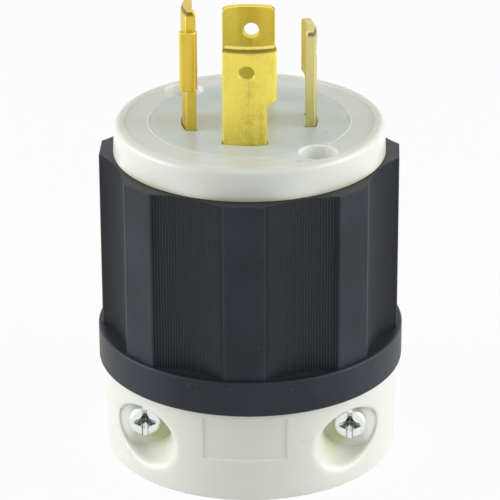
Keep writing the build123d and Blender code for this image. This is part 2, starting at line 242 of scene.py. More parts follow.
class PlugShellSizes(bpy.types.PropertyGroup):
    """Sizes of the black sleeve."""

    scallops: IntProperty(
        name="Scallops", description="Hollow grips round the sleeve", default=8, min=3, max=16
    )
    ribs: IntProperty(
        name="Ribs", description="Fine upright ribs in one scallop", default=28, min=4, max=60
    )
    rib_depth: FloatProperty(
        name="Rib Depth", description="From a rib's crest to the groove beside it",
        default=0.16 * MM, unit="LENGTH", precision=5,
    )
    land_apothem: FloatProperty(
        name="Land Apothem", description="From the axis to the flat lands",
        default=24.3 * MM, unit="LENGTH", precision=5,
    )
    land_width: FloatProperty(
        name="Land Width", description="Width of one flat land",
        default=6.4 * MM, unit="LENGTH", precision=5,
    )
    land_bevel: FloatProperty(
        name="Land Bevel", description="How far a land's two upright edges are softened",
        default=0.16 * MM, unit="LENGTH", precision=5,
    )
    scallop_radius: FloatProperty(
        name="Scallop Radius", description="Radius of a scallop's hollow",
        default=16.7 * MM, unit="LENGTH", precision=5,
    )
    ring_height: FloatProperty(
        name="Ring Height", description="Height of the plain ring at the bottom",
        default=6.0 * MM, unit="LENGTH", precision=5,
    )
    bore_radius: FloatProperty(
        name="Bore Radius", description="Radius of the hole through the sleeve",
        default=20.5 * MM, unit="LENGTH", precision=5,
    )
    ring_edge: FloatProperty(
        name="Ring Edge", description="Radius of the ring's two edges",
        default=0.35 * MM, unit="LENGTH", precision=5,
    )
    top_edge: FloatProperty(
        name="Top Edge", description="Radius of the sleeve's top edge",
        default=0.12 * MM, unit="LENGTH", precision=5,
    )


class PlugNylonSizes(bpy.types.PropertyGroup):
    """Soft edges of the white front body and rear housing."""

    lip: FloatProperty(
        name="Pocket Lip", description="Softness of a screw pocket's lip",
        default=0.9 * MM, unit="LENGTH", precision=5,
    )
    lower_lip: FloatProperty(
        name="Lower Lip", description="Softness of the lip below a screw pocket",
        default=1.6 * MM, unit="LENGTH", precision=5,
    )
    mouth: FloatProperty(
        name="Recess Mouth", description="Radius of the mouth of a recess in the face",
        default=0.3 * MM, unit="LENGTH", precision=5,
    )
    slot_edge: FloatProperty(
        name="Slot Edge", description="Chamfer round a blade's slot in the face",
        default=0.12 * MM, unit="LENGTH", precision=5,
    )


class PlugMetalSizes(bpy.types.PropertyGroup):
    """Soft edges of the blades and the screws."""

    blade_edge: FloatProperty(
        name="Blade Edge", description="Radius of a blade's stamped edges",
        default=0.14 * MM, unit="LENGTH", precision=5,
    )
    cross_reach: FloatProperty(
        name="Cross Reach", description="From a screw's axis to the end of an arm of its cross",
        default=1.75 * MM, unit="LENGTH", precision=5,
    )
    cross_arm: FloatProperty(
        name="Cross Arm", description="Half the width of an arm of the cross",
        default=0.42 * MM, unit="LENGTH", precision=5,
    )
    cross_depth: FloatProperty(
        name="Cross Depth", description="Depth of the cross below the head's top",
        default=1.35 * MM, unit="LENGTH", precision=5,
    )
    slot_width: FloatProperty(
        name="Slot Width", description="Width of the slot across a screw's head",
        default=0.9 * MM, unit="LENGTH", precision=5,
    )
    slot_depth: FloatProperty(
        name="Slot Depth", description="Depth of the slot across a screw's head",
        default=0.55 * MM, unit="LENGTH", precision=5,
    )


class PlugColours(bpy.types.PropertyGroup):
    """Colours of the plug's materials, in linear light."""

    white_nylon: FloatVectorProperty(
        name="White Nylon", description="Colour of the front body and the rear housing",
        default=(0.78, 0.80, 0.765), subtype="COLOR", min=0, max=1,
    )
    black_nylon: FloatVectorProperty(
        name="Black Nylon", description="Colour of the sleeve",
        default=(0.009, 0.012, 0.018), subtype="COLOR", min=0, max=1,
    )
    brass: FloatVectorProperty(
        name="Brass", description="Clean colour of the blades",
        default=(0.84, 0.70, 0.13), subtype="COLOR", min=0, max=1,
    )
    tarnish: FloatVectorProperty(
        name="Tarnish", description="Colour of the brass where it has dulled",
        default=(0.42, 0.31, 0.06), subtype="COLOR", min=0, max=1,
    )
    steel: FloatVectorProperty(
        name="Plated Steel", description="Colour of the screws and the nuts",
        default=(0.86, 0.89, 0.87), subtype="COLOR", min=0, max=1,
    )
    ground_green: FloatVectorProperty(
        name="Ground Green", description="Colour of the ground terminal's screw",
        default=(0.03, 0.22, 0.07), subtype="COLOR", min=0, max=1,
    )


class PlugStageSettings(bpy.types.PropertyGroup):
    """Where the camera stands and how bright the lamps are."""

    distance: FloatProperty(
        name="Camera Distance", description="From the camera to the point that it looks at",
        default=516 * MM, unit="LENGTH",
    )
    elevation: FloatProperty(
        name="Camera Elevation", description="The camera's angle above the horizon",
        default=radians(23.985), subtype="ANGLE",
    )
    azimuth: FloatProperty(
        name="Camera Azimuth", description="The camera's turn from the front towards +X",
        default=radians(2.3), subtype="ANGLE",
    )
    roll: FloatProperty(
        name="Camera Roll", description="The camera's turn about its own view",
        default=radians(-0.27), subtype="ANGLE",
    )
    aim_height: FloatProperty(
        name="Aim Height", description="Height on the axis of the point that the camera looks at",
        default=33.88 * MM, unit="LENGTH", precision=5,
    )
    lens: FloatProperty(
        name="Lens", description="Focal length on a 36 mm sensor", default=225.7, unit="CAMERA"
    )
    lamp_level: FloatProperty(
        name="Lamp Level", description="Share of full strength for every lamp",
        default=1.0, min=0, subtype="FACTOR",
    )


# Node trees written as expressions

def math_node(operation, swapped=False):
    """A method of Wire that adds one Math node to its tree."""
    def method(wire, *others):
        operands = (*others, wire) if swapped else (wire, *others)
        return wire.sheet.node("ShaderNodeMath", {"operation": operation}, dict(enumerate(operands)))

    return method


class Wire:
    """An output socket. Arithmetic on it adds Math nodes to its tree."""

    def __init__(self, sheet, socket):
        self.sheet = sheet
        self.socket = socket

    __add__ = math_node("ADD")
    __radd__ = math_node("ADD", swapped=True)
    __sub__ = math_node("SUBTRACT")
    __rsub__ = math_node("SUBTRACT", swapped=True)
    __mul__ = math_node("MULTIPLY")
    __rmul__ = math_node("MULTIPLY", swapped=True)
    __truediv__ = math_node("DIVIDE")
    __rtruediv__ = math_node("DIVIDE", swapped=True)
    __pow__ = math_node("POWER")
    __lt__ = math_node("LESS_THAN")
    __gt__ = math_node("GREATER_THAN")
    __abs__ = math_node("ABSOLUTE")
    floor = math_node("FLOOR")
    sin = math_node("SINE")
    cos = math_node("COSINE")
    asin = math_node("ARCSINE")
    arctan2 = math_node("ARCTAN2")
    maximum = math_node("MAXIMUM")


def distance(first, second):
    """The length of a line that runs so far along two axes."""
    return (first * first + second * second) ** 0.5


class NodeSheet:
    """A node tree that is filled by expressions."""

    def __init__(self, tree):
        self.tree = tree
        self.tree.nodes.clear()

    def node(self, kind, settings=None, values=None, output=0):
        """Adds one node. Its settings come first, then the values or links of its sockets."""
        node = self.tree.nodes.new(kind)
        for name, value in (settings or {}).items():
            setattr(node, name, value)
        for key, value in (values or {}).items():
            if isinstance(value, Wire):
                self.tree.links.new(value.socket, node.inputs[key])
            else:
                node.inputs[key].default_value = value
        return Wire(self, node.outputs[output]) if len(node.outputs) else node

    def again(self, wire, output):
        """Another output of the node that a wire comes from."""
        return Wire(self, wire.socket.node.outputs[output])


class Surface(NodeSheet):
    """The node sheet of one material, with the parts that every finish here uses."""

    def __init__(self, name):
        self.material = bpy.data.materials.new(name)
        self.material.use_nodes = True
        super().__init__(self.material.node_tree)
        self.place = self.node("ShaderNodeTexCoord", output="Object")

    def stretched(self, scale):
        """The place with each axis scaled."""
        return self.node("ShaderNodeMapping", values={"Vector": self.place, "Scale": scale})

    def axes(self):
        """The X, Y and Z of the place on the piece, in millimetres."""
        x = self.node("ShaderNodeSeparateXYZ", values={0: self.stretched((1 / MM,) * 3)})
        return x, self.again(x, 1), self.again(x, 2)

    def radius(self):
        """How far the place lies from the plug's axis, in millimetres."""
        x, y, _ = self.axes()
        return distance(x, y)

    def noise(self, scale, detail, place=None):
        """Noise from 0 to 1, with so many waves in a metre."""
        values = {"Vector": place or self.place, "Scale": scale, "Detail": detail, "Roughness": 0.5}
        return self.node("ShaderNodeTexNoise", {"noise_dimensions": "3D"}, values)

    def step(self, value, low, high):
        """0 below low, 1 above high, and smooth between them."""
        return self.node(
            "ShaderNodeMapRange", {"interpolation_type": "SMOOTHSTEP"},
            {"Value": value, "From Min": low, "From Max": high},
        )

    def mix(self, share, first, second):
        """Two colours mixed by a share that runs from 0 to 1."""
        first, second = (c if isinstance(c, Wire) else (*c, 1) for c in (first, second))
        return self.node(
            "ShaderNodeMix", {"data_type": "RGBA"}, {0: share, 6: first, 7: second}, output=2
        )

    def bump(self, height, depth):
        """A normal tilted by a height from 0 to 1 that stands for a real depth in metres."""
        return self.node("ShaderNodeBump", values={"Height": height, "Distance": depth, "Strength": 1.0})

    def finish(self, values):
        """Closes the material with a Principled shader and returns the material."""
        shader = self.node("ShaderNodeBsdfPrincipled", values=values)
        self.node("ShaderNodeOutputMaterial", values={"Surface": shader})
        return self.material


# Closed forms in millimetres

def closed(form):
    """The mesh of an edited form: its shared corners are joined and its faces turned outwards."""
    bmesh.ops.remove_doubles(form, verts=form.verts, dist=WELD)
    bmesh.ops.recalc_face_normals(form, faces=form.faces)
    mesh = bpy.data.meshes.new("solid")
    form.to_mesh(mesh)
    form.free()
    return mesh


def solid(points, faces):
    """A closed mesh of points and of faces that name them by number."""
    form = bmesh.new()
    corners = [form.verts.new(point) for point in points]
    for face in faces:
        form.faces.new([corners[index] for index in face])
    return closed(form)


def woven(start, columns, rows):
    """Faces between neighbouring columns of points, all the way round."""
    faces = []
    for column in range(columns):
        here, there = start + column * rows, start + (column + 1) % columns * rows
        for row in range(rows - 1):
            faces.append((here + row, there + row, there + row + 1, here + row + 1))
    return faces


def loft(levels, place=Matrix.Identity(4)):
    """A form through outlines of as many points each, closed by flat ends."""
    count = len(levels[0])
    points = [place @ Vector(point) for level in levels for point in level]
    faces = [tuple(range(count)), tuple(range(len(points) - count, len(points)))]
    for first in range(0, len(points) - count, count):
        for index in range(count):
            a, b = first + index, first + (index + 1) % count
            faces.append((a, b, b + count, a + count))
    return solid(points, faces)


def prism(outline, low, high, place=Matrix.Identity(4)):
    """An upright form over one outline."""
    return loft([[(x, y, z) for x, y in outline] for z in (low, high)], place)


def rectangle(low, high):
    """The outline of a rectangle between two corners."""
    return [(low[0], low[1]), (high[0], low[1]), (high[0], high[1]), (low[0], high[1])]


def lathe(profile, steps, place=Matrix.Identity(4)):
    """A form turned round Z from (radius, height) points that start and end on the axis."""
    points = []
    for step in range(steps):
        turn = 2 * pi * step / steps
        points += [place @ Vector((r * cos(turn), r * sin(turn), z)) for r, z in profile]
    return solid(points, woven(0, steps, len(profile)))


def pin(radius, low, high, place=Matrix.Identity(4), steps=HOLE_STEPS):
    """A plain round form along Z."""
    return lathe([(0, low), (radius, low), (radius, high), (0, high)], steps, place)


def arc(centre, radius, start, end, steps=6):
    """Points on an arc between two angles in degrees, both ends included."""
    turns = [radians(start + (end - start) * step / steps) for step in range(steps + 1)]
    return [(centre[0] + radius * cos(turn), centre[1] + radius * sin(turn)) for turn in turns]


def rounded(corners):
    """The outline through corners (x, y, radius), each rounded by its own radius."""
    points = []
    for index, (x, y, radius) in enumerate(corners):
        here = Vector((x, y))
        before = (Vector(corners[index - 1][:2]) - here).normalized()
        after = (Vector(corners[(index + 1) % len(corners)][:2]) - here).normalized()
        half = before.angle(after) / 2
        centre = here + (before + after).normalized() * radius / sin(half)
        first = here + before * radius / tan(half) - centre
        last = here + after * radius / tan(half) - centre
        turn = first.angle(last)
        for step in range(CORNER_STEPS + 1):
            share = step / CORNER_STEPS
            spoke = first * sin((1 - share) * turn) + last * sin(share * turn)
            points.append(centre + spoke / sin(turn))
    return points


def spread(stops, step):
    """Values from the first stop to the last through every stop, no further apart than a step."""
    values = [stops[0]]
    for start, end in zip(stops, stops[1:]):
        parts = max(1, ceil((end - start) / step - WELD))
        values += [start + (end - start) * part / parts for part in range(1, parts + 1)]
    return values


def about_axis(azimuth):
    """Turns X to an azimuth in degrees."""
    return Matrix.Rotation(radians(azimuth), 4, "Z")


def facing_out(azimuth, side, height):
    """A frame whose Z points outwards at an azimuth, from a point that far to its side and up."""
    out_to_z = Matrix.Rotation(radians(90), 4, "Y")
    return about_axis(azimuth) @ Matrix.Translation((0, side, height)) @ out_to_z


def assembly_place(turn):
    """The axis of a long screw at an azimuth in degrees."""
    return about_axis(turn) @ Matrix.Translation((ASSEMBLY_RADIUS, 0, 0))


def along_front(x, height):
    """A frame whose Z points out of the plug's front and whose Y points up."""
    return Matrix.Translation((x, 0, height)) @ Matrix.Rotation(radians(90), 4, "X")


def evaluated(data, add_modifiers=None):
    """The mesh of some data, after the modifiers that a function adds to an object of it."""
    work = bpy.data.objects.new("work", data)
    bpy.context.scene.collection.objects.link(work)
    if add_modifiers:
        add_modifiers(work)
    depsgraph = bpy.context.evaluated_depsgraph_get()
    result = bpy.data.meshes.new_from_object(work.evaluated_get(depsgraph), depsgraph=depsgraph)
    bpy.data.objects.remove(work)
    return result


def combined(mesh, operation, tools):
    """A mesh after each tool has been cut from it (DIFFERENCE) or joined to it (UNION)."""
    helpers = [bpy.data.objects.new("tool", tool) for tool in tools]
    for helper in helpers:
        bpy.context.scene.collection.objects.link(helper)

    def add_modifiers(work):
        for helper in helpers:
            modifier = work.modifiers.new("tool", "BOOLEAN")
            modifier.operation = operation
            modifier.solver = "MANIFOLD"
            modifier.object = helper

    result = evaluated(mesh, add_modifiers)
    for helper in helpers:
        bpy.data.objects.remove(helper)
    if len(result.polygons) in (0, len(mesh.polygons)):
        raise RuntimeError("a cut or a join of two forms changed nothing or left nothing")
    return result


def settle(name, mesh, material, nodes, sharp=30):
    """Makes a piece of a mesh in millimetres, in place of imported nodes. Edges up to sharp are smooth."""
    mesh.transform(Matrix.Scale(MM, 4))
    mesh.shade_smooth()
    mesh.set_sharp_from_angle(angle=radians(sharp))

    def add_modifiers(work):
        modifier = work.modifiers.new("normals", "WEIGHTED_NORMAL")
        modifier.keep_sharp = True

    mesh = evaluated(mesh, add_modifiers)
    mesh.name = name
    mesh.materials.clear()
    mesh.materials.append(material)
    piece = bpy.data.objects.new(name, mesh)
    bpy.context.scene.collection.objects.link(piece)
    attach(piece, BODY)
    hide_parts(*nodes)


# Materials

# What a tint does to the three channels of a nylon's colour. OLIVE, COOL_GREY and PALE stand for painted
# light and shade inside the nylon
WARM = (1.0, 0.985, 0.93)
OLIVE = (0.78, 0.76, 0.38)
COOL_GREY = (0.76, 0.84, 0.89)
IVORY = (1.02, 1.02, 0.97)
PALE = (1.22, 1.22, 1.24)

# Painted light on each blade: its colours scaled lighter, darker or bluer as the light falls on it
BLADE_PAINTED_LIGHT = {
    "blade_line_x": (1.0, 1.0, 1.0),
    "blade_neutral": (0.80, 0.86, 1.8),
    "blade_line_y": (0.92, 0.90, 0.80),
    "blade_ground": (0.84, 0.76, 0.60),
}

SPECK_COLOUR = (0.12, 0.13, 0.14)
# Painted shade in a screw's cross and slot
PAINTED_SHADE_COLOUR = (0.07, 0.10, 0.08)

# Where a scallop's floor turns lighter with painted light, and the middle of the painted yellow light in a
# pocket, from its screw's axis
SCALLOP_RADII = (23.5, 24.2)
GLOW_ASIDE = 1.9
GLOW_BELOW = 2.3


def times(colour, factors):
    """A colour with each channel multiplied by its own factor."""
    return tuple(channel * factor for channel, factor in zip(colour, factors))


def white_nylon(colour, name, tints=()):
    """Milky moulded nylon: glossy and a little cloudy. Each tint has a share and a colour's factors."""
    surface = Surface(name)
    cloud = surface.noise(140, detail=2)
    fine = surface.noise(1500, detail=4)
    base = surface.mix(surface.step(cloud, 0.35, 0.7), colour, times(colour, WARM))
    for share_of, factors in tints:
        base = surface.mix(share_of(surface), base, times(colour, factors))
    return surface.finish({
        "Base Color": base,
        "Roughness": 0.24 + 0.12 * cloud,
        "IOR": 1.53,
        "Subsurface Weight": 0.35,
        "Subsurface Radius": (1.0, 0.95, 0.7),
        "Subsurface Scale": 1.6 * MM,
        "Normal": surface.bump(fine, 0.006 * MM),
    })


def whole(surface):
    """Everywhere."""
    return 1.0


def collar_painted_glow(surface):
    """Painted light on the front body: olive light that travels inside the nylon, along the collar's lower
    edge.
    """
    _, _, z = surface.axes()
    low = 1 - surface.step(z, SHELL_HIGH.z + 0.1, SHELL_HIGH.z + 1.1)
    outside = surface.step(surface.radius(), COLLAR_RADIUS - 1.12, COLLAR_RADIUS - 0.32)
    return 0.55 * low * outside


def sunk_face_painted_shade(surface):
    """Painted shade on the front body: grey in the sunk face, and most inside its ridge."""
    _, _, z = surface.axes()
    radius = surface.radius()
    raised = surface.step(z, FACE - 1.0, FACE - 0.4)
    band = 1 - surface.step(radius, RIM_RADIUS - 0.3, RIM_RADIUS)
    centre = 1 - surface.step(radius, RIDGE_RADIUS - 1.5, RIDGE_RADIUS)
    return raised * (0.35 * band + 0.65 * centre)


def recess_painted_glow(surface):
    """Painted light on the front body: pale light from within, in the two recesses of the long screws."""
    x, y, z = surface.axes()
    turn = radians(ASSEMBLY_TURNS[0])
    out = abs(x * cos(turn) + y * sin(turn)) - ASSEMBLY_RADIUS
    across = y * cos(turn) - x * sin(turn)
    near = 1 - surface.step(distance(out, across), RECESS_RADIUS + 0.1, RECESS_RADIUS + 0.5)
    return near * surface.step(z, RECESS_FLOOR - 0.5, RECESS_FLOOR)


def pocket_painted_glow(surface):
    """Painted light on the rear housing: olive light inside the nylon in the screw pockets, below the head
    towards the panel.
    """
    x, y, z = surface.axes()
    aside = abs(x) - (CLAMP_OFFSET - GLOW_ASIDE)
    above = z - (CLAMP_HEIGHT - GLOW_BELOW)
    near = 1 - surface.step(distance(aside, above), 0.4, 3.4)
    reach = -1 * y
    inside = surface.step(reach, 10, 12) * (1 - surface.step(reach, 15.5, 19.5))
    return 0.9 * near * inside


def black_nylon(colour, name="Black Nylon"):
    """Satin black nylon with a fine moulded grain, a few pale specks, and painted light in the scallops'
    hollows.
    """
    surface = Surface(name)
    grain = surface.noise(4200, detail=3)
    cloud = surface.noise(90, detail=2)
    pale = tuple(channel * 1.6 + 0.004 for channel in colour)
    base = surface.mix(surface.step(cloud, 0.3, 0.75), colour, pale)
    # Painted light: the scallops' hollows are lifted lighter
    hollow = 1 - surface.step(surface.radius(), *SCALLOP_RADII)
    base = surface.mix(hollow, base, tuple(channel + 0.014 for channel in colour))
    speck = surface.step(surface.noise(1900, detail=0), 0.82, 0.86)
    base = surface.mix(0.4 * speck, base, SPECK_COLOUR)
    return surface.finish({
        "Base Color": base,
        "Roughness": 0.40 + 0.12 * cloud,
        "IOR": 1.5,
        "Specular IOR Level": 0.3,
        "Normal": surface.bump(grain, 0.008 * MM),
    })


def bevel_painted_shade(surface, tip):
    """Painted shade on a blade: dark on the bevel outside its tip, but not on the tip's own edge."""
    _, _, z = surface.axes()
    outside = surface.step(surface.radius(), BLADE_INNER + 0.3, BLADE_INNER + 0.4)
    bevel = surface.step(z, tip - 1.0, tip - 0.5)
    below_top = 1 - surface.step(z, tip - 0.22, tip - 0.08)
    return 0.85 * outside * bevel * below_top


def brass(clean, tarnish, name, tip=None):
    """Rolled brass, drawn along the blade, darker near the face, with painted shade on the bevel below a
    tip.
    """
    surface = Surface(name)
    _, _, z = surface.axes()
    streaks = surface.noise(900, detail=3, place=surface.stretched((1, 1, 0.06)))
    cloud = surface.noise(420, detail=3)
    grain = surface.noise(2600, detail=3)
    # Darker towards the face
    foot = 1 - surface.step(z, FACE, FACE + 3)
    dull = surface.step(cloud * 0.4 + streaks * 0.35 + grain * 0.25 + foot * 0.12, 0.46, 0.80)
    base = surface.mix(0.7 * dull, clean, tarnish)
    if tip:
        # Painted shade on the bevel outside the tip, in the tarnish colour darkened
        base = surface.mix(bevel_painted_shade(surface, tip), base, times(tarnish, (0.3,) * 3))
    return surface.finish({
        "Base Color": base,
        "Metallic": 1.0,
        "Roughness": 0.30 + 0.16 * streaks,
        "Normal": surface.bump(streaks * 0.5 + grain * 0.5, 0.006 * MM),
    })


def plated_steel(colour, name="Plated Steel", recess=None):
    """Bright zinc-plated steel with a faint grain, and painted shade, greener and darker, where a function
    of it says.
    """
    surface = Surface(name)
    fine = surface.noise(2600, detail=3)
    base = surface.mix(surface.step(fine, 0.3, 0.8), colour, times(colour, (0.86,) * 3))
    if recess:
        # Painted shade, dark green, where the recess function says
        base = surface.mix(recess(surface), base, PAINTED_SHADE_COLOUR)
    return surface.finish({
        "Base Color": base,
        "Metallic": 1.0,
        "Roughness": 0.20 + 0.14 * fine,
        "Normal": surface.bump(fine, 0.004 * MM),
    })


def clamp_painted_shade(surface):
    """Painted shade on a clamp screw's head: deep in its cross and on the slot's two sides."""
    x, y, z = surface.axes()
    aside = abs(x) - CLAMP_OFFSET
    above = z - CLAMP_HEIGHT
    depth = y + (POCKET_FLOOR + 1.9)
    within = 1 - surface.step(distance(aside, above), 1.9, 2.1)
    upper = surface.step(above, -0.85, -0.45)
    sunk = 0.5 * surface.step(depth, 0.1, 0.3) + 0.4 * surface.step(depth, 0.6, 1.2)
    side = abs(aside)
    lines = surface.step(side, 0.34, 0.42) * (1 - surface.step(side, 0.50, 0.58))
    return (within * upper * sunk).maximum(0.7 * lines * (1 - upper))


def painted_steel(colour):
    """Steel with a thin green finish."""
    surface = Surface("Green Steel")
    fine = surface.noise(1800, detail=3)
    return surface.finish({
        "Base Color": surface.mix(fine, colour, times(colour, (1.5,) * 3)),
        "Metallic": 0.6,
        "Roughness": 0.3 + 0.15 * fine,
        "Normal": surface.bump(fine, 0.004 * MM),
    })


def dress(nodes, material):
    """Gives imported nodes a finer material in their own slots."""
    for name in nodes:
        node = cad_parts[name]
        node.data.materials.clear()
        node.data.materials.append(material)


# Black sleeve

class ShapeTree(NodeSheet):
    """A Geometry Nodes tree with named inputs, run once to make a plain mesh."""

    KINDS = {int: "NodeSocketInt", float: "NodeSocketFloat", bpy.types.Material: "NodeSocketMaterial"}

    def __init__(self, name, inputs):
        super().__init__(bpy.data.node_groups.new(name, "GeometryNodeTree"))
        self.values = {}
        for label, value in inputs.items():
            socket = self.tree.interface.new_socket(
                name=label, in_out="INPUT", socket_type=self.KINDS[type(value)]
            )
            self.values[socket.identifier] = value
        self.tree.interface.new_socket(
            name="Geometry", in_out="OUTPUT", socket_type="NodeSocketGeometry"
        )
        self.inputs = self.tree.nodes.new("NodeGroupInput")

    def size(self, label):
        """One of the tree's named inputs."""
        return Wire(self, self.inputs.outputs[label])

    def pick(self, index, choices):
        """The choice that an index points at."""
        switch = self.tree.nodes.new("GeometryNodeIndexSwitch")
        switch.data_type = "FLOAT"
        while len(switch.index_switch_items) < len(choices):
            switch.index_switch_items.new()
        for socket, value in zip(switch.inputs, [index, *choices]):
            if isinstance(value, Wire):
                self.tree.links.new(value.socket, socket)
            else:
                socket.default_value = value
        return Wire(self, switch.outputs[0])

    def close(self, geometry, material):
        """Ends the tree with real geometry that carries its material."""
        real = self.node("GeometryNodeRealizeInstances", values={"Geometry": geometry})
        named = self.node("GeometryNodeSetMaterial", values={"Geometry": real, "Material": material})
        self.node("NodeGroupOutput", values={"Geometry": named})

    def plain_mesh(self):
        """The mesh that the tree makes."""
        def add_modifiers(work):
            modifier = work.modifiers.new(self.tree.name, "NODES")
            modifier.node_group = self.tree
            for identifier, value in self.values.items():
                modifier[identifier] = value

        return evaluated(bpy.data.meshes.new("seed"), add_modifiers)


def sleeve_tree(sizes, material):
    """The sleeve as a grid wrapped round its section: rows run up and over it, columns run round it."""
    tree = ShapeTree("Ribbed Sleeve", {
        "Scallops": sizes.scallops,
        "Ribs": sizes.ribs,
        "Rib Depth": sizes.rib_depth,
        "Land Apothem": sizes.land_apothem,
        "Land Width": sizes.land_width,
        "Land Bevel": sizes.land_bevel,
        "Scallop Radius": sizes.scallop_radius,
        "Bore Radius": sizes.bore_radius,
        "Ring Radius": SHELL_HIGH.x * MM,
        "Ring Edge": sizes.ring_edge,
        "Top Edge": sizes.top_edge,
        "Bottom": SHELL_LOW.z * MM,
        "Ring Top": SHELL_LOW.z * MM + sizes.ring_height,
        "Top": SHELL_HIGH.z * MM,
        "Nylon": material,
    })
    scallops = tree.size("Scallops")
    ribs = tree.size("Ribs")
    apothem = tree.size("Land Apothem")
    half_land = tree.size("Land Width") / 2
    bevel = tree.size("Land Bevel")
    hollow = tree.size("Scallop Radius")
    bottom = tree.size("Bottom")
    ring_top = tree.size("Ring Top")
    top = tree.size("Top")

    # One sector is a land and a scallop of so many columns a rib
    arc_columns = ribs * RIB_COLUMNS
    sector_columns = arc_columns + LAND_COLUMNS + 1
    columns = scallops * sector_columns + 1
    index = tree.node("GeometryNodeInputIndex")
    row = (index / columns).floor()
    column = index - row * columns
    sector = (column / sector_columns).floor()
    place = column - sector * sector_columns

    # Across the land: evenly between two columns close inside the bevels
    across = (half_land - 2 * bevel) * ((place - 1) / (LAND_COLUMNS - 3) * 2 - 1)
    first, last = place < 0.5, place > LAND_COLUMNS - 1.5
    across = across + (bevel - half_land - across) * first
    across = across + (half_land - bevel - across) * last

    # Along the scallop, whose radius swells by the grooves between the ribs
    sector_turn = 2 * pi / scallops
    corner_radius = distance(apothem, half_land)
    half_turn = sector_turn / 2 - half_land.arctan2(apothem)
    half_chord = corner_radius * half_turn.sin()
    centre = corner_radius * half_turn.cos() + (hollow * hollow - half_chord * half_chord) ** 0.5
    share = (place - LAND_COLUMNS) / arc_columns
    half_arc = (half_chord / hollow).asin() - bevel / hollow
    swing = (share * 2 - 1) * half_arc
    depth = hollow + tree.size("Rib Depth") * (1 - (share * ribs * 2 * pi).cos()) / 2
    out, along = centre - depth * swing.cos(), depth * swing.sin()

    on_land = place < LAND_COLUMNS - 0.5
    x = out + (apothem - out) * on_land
    y = along + (across - along) * on_land
    wall = distance(x, y)
    turn = y.arctan2(x) + sector_turn * (sector + (1 - on_land) / 2)

    # The section, from the bore's bottom round the outside and back down the bore
    bore, ring = tree.size("Bore Radius"), tree.size("Ring Radius")
    ring_edge, top_edge = tree.size("Ring Edge"), tree.size("Top Edge")
    bends = [(cos(angle), sin(angle)) for angle in (pi / 2 * step / 5 for step in range(6))]
    section = [(bore, bottom), (ring - ring_edge * 1.4, bottom)]
    section += [(ring - ring_edge * (1 - s), bottom + ring_edge * (1 - c)) for c, s in bends]
    section += [(ring - ring_edge * (1 - c), ring_top - ring_edge * (1 - s)) for c, s in bends]
    section += [(wall, ring_top), (wall, top - top_edge * 1.5)]
    section += [(wall - top_edge * (1 - c), top - top_edge * (1 - s)) for c, s in bends]
    section += [(wall - top_edge * 2, top), (bore, top), (bore, bottom)]
    radius = tree.pick(row, [point[0] for point in section])
    height = tree.pick(row, [point[1] for point in section])

    grid = tree.node(
        "GeometryNodeMeshGrid", values={"Vertices X": len(section), "Vertices Y": columns}
    )
    position = tree.node(
        "ShaderNodeCombineXYZ", values={0: radius * turn.cos(), 1: radius * turn.sin(), 2: height}
    )
    wrapped = tree.node("GeometryNodeSetPosition", values={"Geometry": grid, "Position": position})
    joined = tree.node(
        "GeometryNodeMergeByDistance", values={"Geometry": wrapped, "Distance": WELD * MM}
    )
    outwards = tree.node("GeometryNodeFlipFaces", values={"Mesh": joined})
    tree.close(outwards, tree.size("Nylon"))
    return tree


class PLUG_OT_shell(bpy.types.Operator):
    """Makes the black sleeve with its lands and ribbed scallops"""

    bl_idname = "plug.shell"
    bl_label = "Shell"

    def execute(self, context):
        sizes = context.scene.plug_shell
        material = black_nylon(context.scene.plug_colours.black_nylon)
        sleeve = sleeve_tree(sizes, material).plain_mesh()
        sleeve.transform(Matrix.Scale(1 / MM, 4))
        bore = sizes.bore_radius / MM
        key = rectangle((bore - KEY_HEIGHT, -KEY_WIDTH / 2), (bore + KEY_HEIGHT, KEY_WIDTH / 2))
        ends = (SHELL_LOW.z + KEY_GAP, SHELL_HIGH.z - KEY_GAP)
        keys = [prism(key, *ends, about_axis(turn)) for turn in KEY_TURNS]
        sleeve = combined(sleeve, "UNION", keys)
        settle("shell", sleeve, material, ["shell"], sharp=62)
        return {"FINISHED"}


# White nylon

def in_slot(edges, grown):
    """The outline of a blade's slot in its own frame, grown all round."""
    left, right = edges[0] - SLOT_CLEARANCE - grown, edges[1] + SLOT_CLEARANCE + grown
    outer, inner = BLADE_OUTER + SLOT_CLEARANCE + grown, BLADE_INNER - SLOT_CLEARANCE - grown
    sides = [left + (right - left) * part / SLOT_STEPS for part in range(SLOT_STEPS + 1)]
    front = [(sqrt(outer ** 2 - side ** 2), side) for side in sides]
    back = [(sqrt(inner ** 2 - side ** 2), side) for side in reversed(sides)]
    return front + back


def front_blank():
    """The front body before it is cut: spigot, collar, rim and the sunk face with its ridge."""
    profile = [(0, FRONT_LOW.z), (SPIGOT_RADIUS, FRONT_LOW.z), (SPIGOT_RADIUS, SHELL_HIGH.z)]
    profile += [(COLLAR_RADIUS - COLLAR_CHAMFER, SHELL_HIGH.z)]
    profile += [(COLLAR_RADIUS, SHELL_HIGH.z + COLLAR_CHAMFER)]
    profile += arc((COLLAR_TOP_RADIUS - RIM_EDGE, FACE - RIM_EDGE), RIM_EDGE, 0, 90, 10)
    inner = (RIM_RADIUS + RIM_INNER_EDGE, FACE - RIM_INNER_EDGE)
    profile += arc(inner, RIM_INNER_EDGE, 90, 180, 4)
    profile += arc((RIM_RADIUS - FACE_FILLET, SUNK_FACE + FACE_FILLET), FACE_FILLET, 0, -90, 2)
    profile += [(RIDGE_RADIUS + side, SUNK_FACE + lift) for side, lift in RIDGE_SIDE]
    profile += [(RIDGE_RADIUS - side, SUNK_FACE + lift) for side, lift in reversed(RIDGE_SIDE)]
    return lathe(profile + [(0, SUNK_FACE)], FACE_STEPS)


